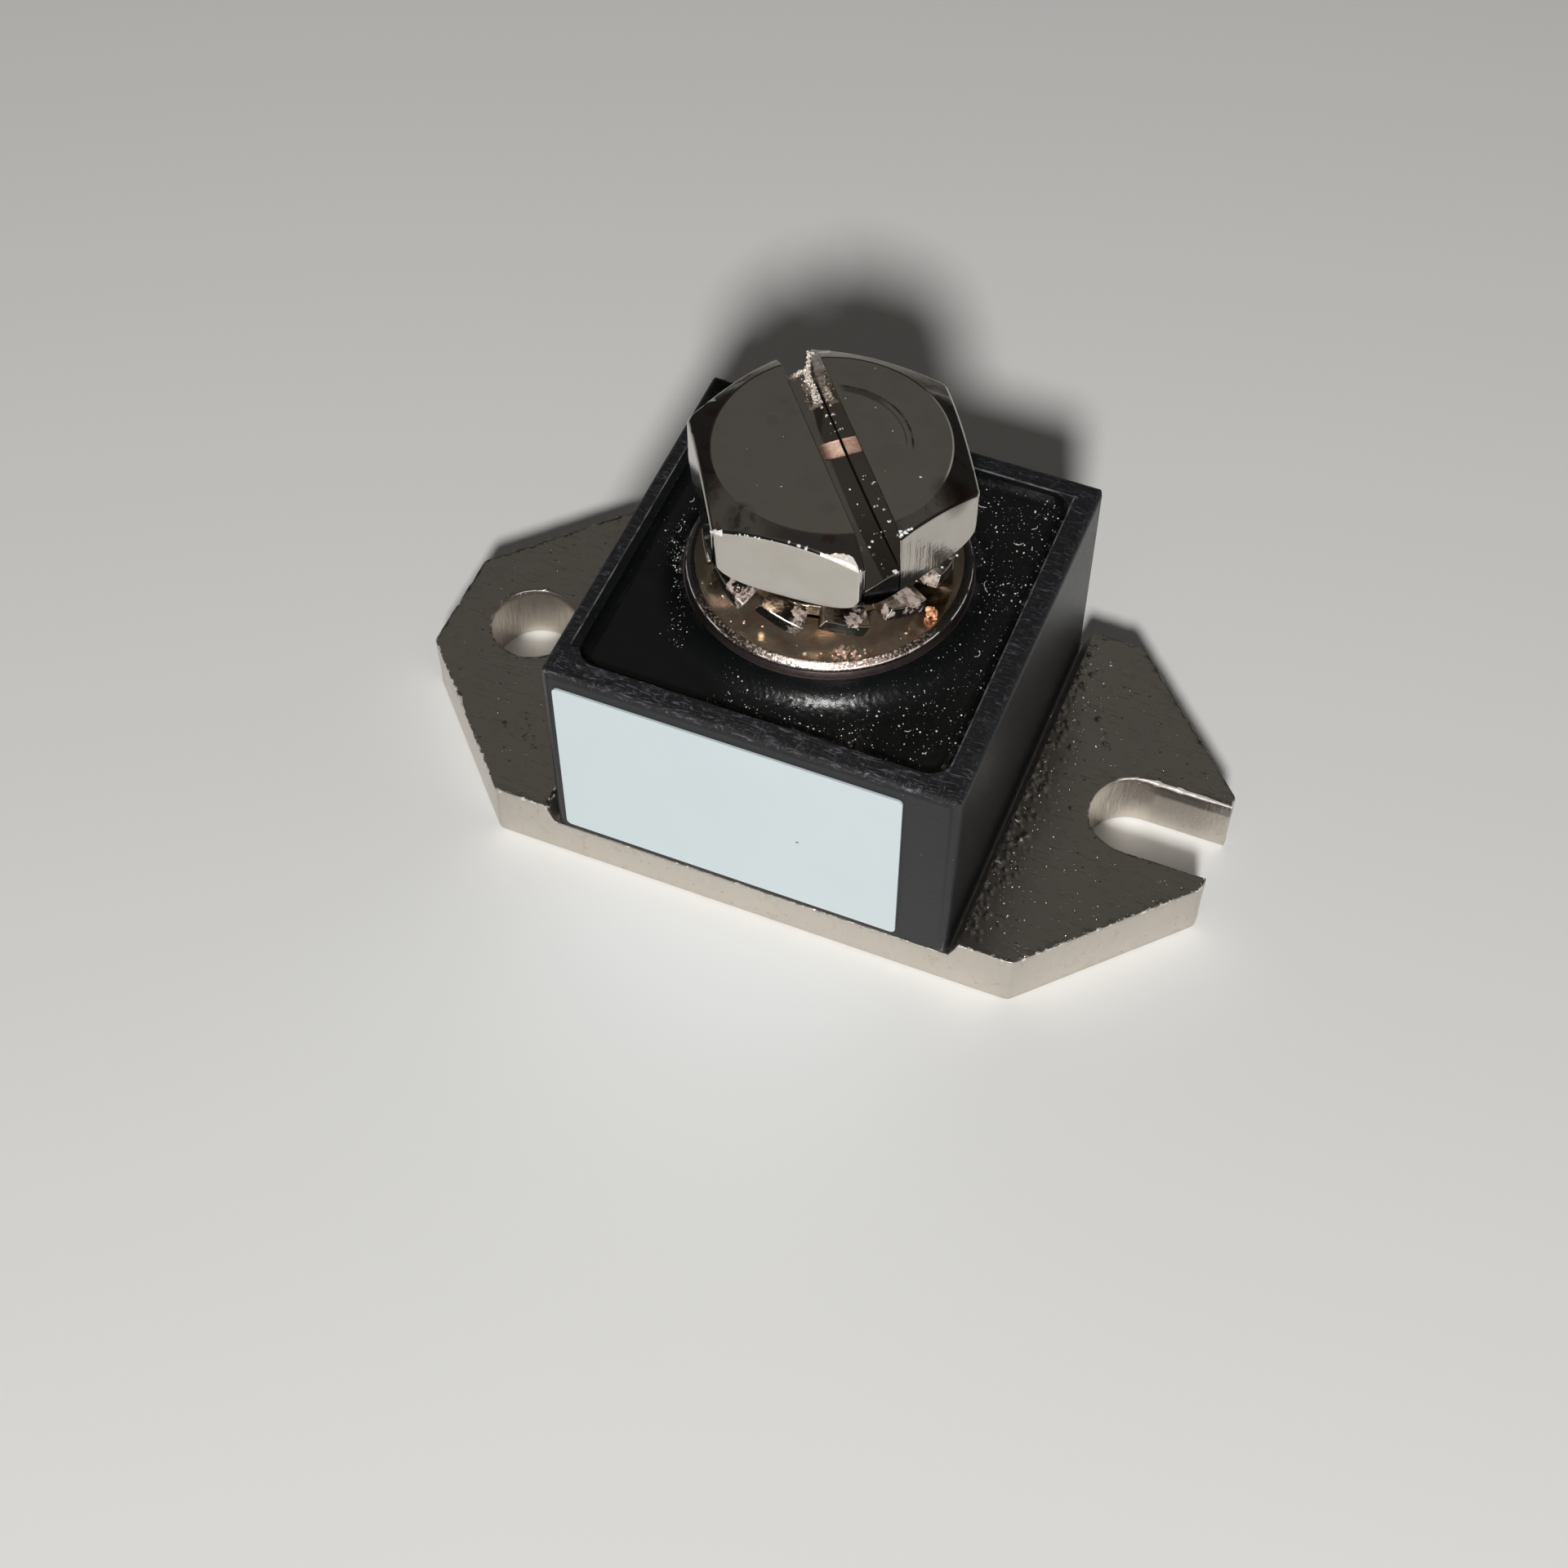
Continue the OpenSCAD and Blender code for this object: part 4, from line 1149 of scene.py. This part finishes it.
def screw_dust():
    """Specks on the head, in the slot and on the washer."""
    top = HEAD_TOP - DUST_ROOM
    spots = [((x, y, top - r * 0.45), r) for x, y, r in (
        (2.05, 1.57, 0.035), (4.0, -0.4, 0.055), (0.93, 2.56, 0.04), (-0.41, 2.59, 0.035),
        (2.57, -0.63, 0.025), (-1.94, -3.31, 0.025), (-1.02, -3.01, 0.025), (-1.98, -0.41, 0.02),
        (2.62, 1.1, 0.02), (0.1, 4.7, 0.02), (-3.1, -1.6, 0.018), (1.9, -1.4, 0.018))]
    # on the slot's floor, then on its +X wall
    spots += [(in_slot(u, v, slot_floor(u) + 0.01), r) for u, v, r in (
        (-0.55, 0.42, 0.055), (-1.45, 0.45, 0.035), (-3.65, 0.36, 0.06), (-4.0, -0.22, 0.05),
        (-2.9, 0.1, 0.025), (3.7, 0.78, 0.045), (-5.0, 0.3, 0.03))]
    spots += [(in_slot(u, SLOT_HALF - 0.01, z), r) for u, z, r in (
        (-2.25, 21.02, 0.04), (-2.46, 19.78, 0.035), (-3.52, 20.7, 0.04), (-4.14, 20.66, 0.055),
        (2.06, 19.85, 0.035), (3.16, 19.61, 0.045), (-3.37, 19.2, 0.03), (-1.0, 20.1, 0.02))]
    # along the upper edges of the near flats, then under the head, on the washer and on the disc
    spots += [((x, y, z), r) for x, y, z, r in (
        (0.305, -5.44, 21.12, 0.06), (0.74, -5.46, 21.07, 0.09), (1.04, -5.44, 21.06, 0.07),
        (-2.98, -5.62, 20.52, 0.11), (-2.8, -5.61, 20.58, 0.13), (-2.6, -5.6, 20.64, 0.12),
        (-1.9, -5.6, 20.78, 0.05), (-1.76, -5.59, 20.83, 0.06), (-1.55, -5.57, 20.88, 0.06),
        (-1.42, -5.57, 20.9, 0.04), (-1.08, -5.56, 20.94, 0.05), (-0.92, -5.56, 20.95, 0.06),
        (-0.385, -5.55, 21.0, 0.04), (2.1, -5.2, 20.97, 0.03), (4.22, -3.3, 21.17, 0.09),
        (4.33, -3.38, 21.1, 0.1), (4.4, -3.23, 21.12, 0.08), (4.3, -3.48, 21.07, 0.08),
        (4.5, -3.06, 21.13, 0.07), (4.58, -2.96, 21.13, 0.08), (4.5, -3.2, 21.08, 0.05),
        (3.3, -4.3, 20.9, 0.05), (4.24, -3.74, 19.21, 0.11), (2.53, -3.15, 19.1, 0.08),
        (2.48, -3.05, 19.2, 0.06), (5.21, -0.41, 16.36, 0.05), (5.08, 2.09, 14.42, 0.06))]
    grains("screw_dust", spots, SPECK, 14)


def washer_chip():
    """A torn copper chip that lies on the disc by a tooth, with crumbs and worn spots round the disc."""
    rng = random.Random(2)
    spots = []
    for _ in range(46):
        turn, up = rng.uniform(0, math.tau), rng.random()
        far = 0.27 * math.sqrt(rng.random()) * (1 - 0.35 * up)
        place = (5.23 + far * math.cos(turn), -1.56 + 1.25 * far * math.sin(turn), 14.44 + 0.42 * up)
        spots.append((place, rng.uniform(0.05, 0.1)))
    grains("washer_chip", spots, BEAD_COPPER, 6, rough=0.3)
    spots = [((x, y, DISC_TOP), r) for x, y, r in (
        (1.64, -5.16, 0.05), (2.13, -5.1, 0.05), (2.35, -4.95, 0.06), (2.5, -4.72, 0.09), (2.84, -4.67, 0.07),
        (2.92, -4.5, 0.06), (3.2, -4.67, 0.05), (2.65, -4.92, 0.05), (2.2, -4.8, 0.05), (3.0, -4.8, 0.04),
        (-1.98, -4.86, 0.07), (-2.0, -4.76, 0.05), (-1.18, -4.73, 0.06))]
    grains("disc_wear", spots, BARE_COPPER, 12, rough=0.3)
    spots = [((x, y, DISC_TOP + r * 0.2), r) for x, y, r in (
        (1.01, -5.45, 0.09), (-2.52, -4.98, 0.03), (-3.39, -3.82, 0.05), (-3.3, -3.9, 0.04),
        (3.28, -4.3, 0.06), (3.36, -4.46, 0.05), (4.57, -2.79, 0.055), (4.6, -2.5, 0.025),
        (4.46, -3.15, 0.03), (0.55, -5.15, 0.03), (-4.48, -3.47, 0.03), (-4.12, -3.37, 0.03))]
    grains("disc_crumbs", spots, TORN_NICKEL, 13, rough=0.3)


base_plate()
potting_resin()
resin_specks()
refined("terminal_screw", head_rounding, 0.26, shaped=cut_head)
refined("housing_frame", rim_rounding, 0.08)
refined("lock_washer", teeth_rounding, 0.04, segments=2, crease=35, shaped=worn_teeth)
turned_terminal()
slot_scar()
slot_burr()
slot_smear()
painted_edge_highlight()
plate_specks()
screw_dust()
washer_chip()


# Stage, light and camera

def studio_floor():
    mesh = bpy.data.meshes.new("studio_floor")
    bm = bmesh.new()
    bmesh.ops.create_circle(bm, cap_ends=True, segments=96, radius=3.0)
    bm.to_mesh(mesh)
    bm.free()
    floor = new_object("studio_floor", mesh)
    s = Surface("floor_paint", IOR=1.45)
    s.colour = s.clouds(s.noise(0.02, 2), (0.84, 0.845, 0.84), (0.86, 0.86, 0.85))
    mesh.materials.append(s.finish(s.noise(0.05, 2).to(0.5, 0.56)))


def sky():
    """Pale round the horizon and dim overhead, so that upward metal stays dark."""
    world = bpy.data.worlds.new("studio")
    world.use_nodes = True
    tree = world.node_tree
    coord = new_node(tree, "ShaderNodeTexCoord")
    split = new_node(tree, "ShaderNodeSeparateXYZ", {0: coord.outputs["Generated"]})
    up = new_node(tree, "ShaderNodeMath", {0: split.outputs[2], 1: 0.5, 2: 0.5}, operation="MULTIPLY_ADD")
    ramp = new_node(tree, "ShaderNodeValToRGB", {"Fac": up.outputs[0]})
    band = ramp.color_ramp
    stops = [(0.0, (0.6, 0.6, 0.6)), (0.5, (0.4, 0.4, 0.4)), (0.508, (0.07, 0.07, 0.07)),
             (0.53, (0.024, 0.023, 0.022)), (0.79, (0.024, 0.023, 0.022)), (0.85, (0.108, 0.103, 0.096)),
             (0.93, (0.105, 0.1, 0.092)), (0.965, (0.05, 0.048, 0.045)), (1.0, (0.045, 0.043, 0.04))]
    while len(band.elements) < len(stops):
        band.elements.new(0.5)
    for element, (place, colour) in zip(band.elements, stops):
        element.position = place
        element.color = (*colour, 1)
    put(ramp.outputs["Color"], tree.nodes["Background"].inputs["Color"])
    bpy.context.scene.world = world


def lamp(name, azimuth, elevation, distance, size, power, colour):
    """A round lamp that faces a point 10 mm above the floor's middle."""
    data = bpy.data.lights.new(name, "AREA")
    data.shape = "DISK"
    data.size = size
    data.energy = power
    data.color = colour
    made = new_object(name, data)
    (ca, sa), (ce, se) = cos_sin(azimuth), cos_sin(elevation)
    towards = Vector((ce * ca, ce * sa, se))
    made.location = towards * distance + Vector((0, 0, 0.01))
    made.rotation_euler = towards.to_track_quat("Z", "Y").to_euler()


def photo_camera():
    """The camera as it was solved from the photo: its place, and its axes in the object's frame."""
    data = bpy.data.cameras.new("photo_camera")
    data.lens = 58.216
    data.sensor_width = 36
    data.sensor_fit = "HORIZONTAL"
    data.clip_start = 0.001
    data.clip_end = 20
    made = new_object("photo_camera", data)
    right = Vector((0.926221732, 0.376978706, -0.000598149))
    down = Vector((0.30405142, -0.74797841, -0.58998393))
    ahead = Vector((-0.22285878, 0.54627407, -0.80741477))
    turn = Matrix((right, -down, -ahead)).transposed()
    place = Vector((25.52572501, -67.80341785, 96.86052291)) * MM
    made.matrix_world = Matrix.Translation(place) @ turn.to_4x4()
    bpy.context.scene.camera = made


studio_floor()
sky()
lamp("key", -71, 38, 0.4, 0.052, 1.6, (1.0, 0.99, 0.97))
photo_camera()
bpy.context.scene.view_settings.view_transform = "Standard"
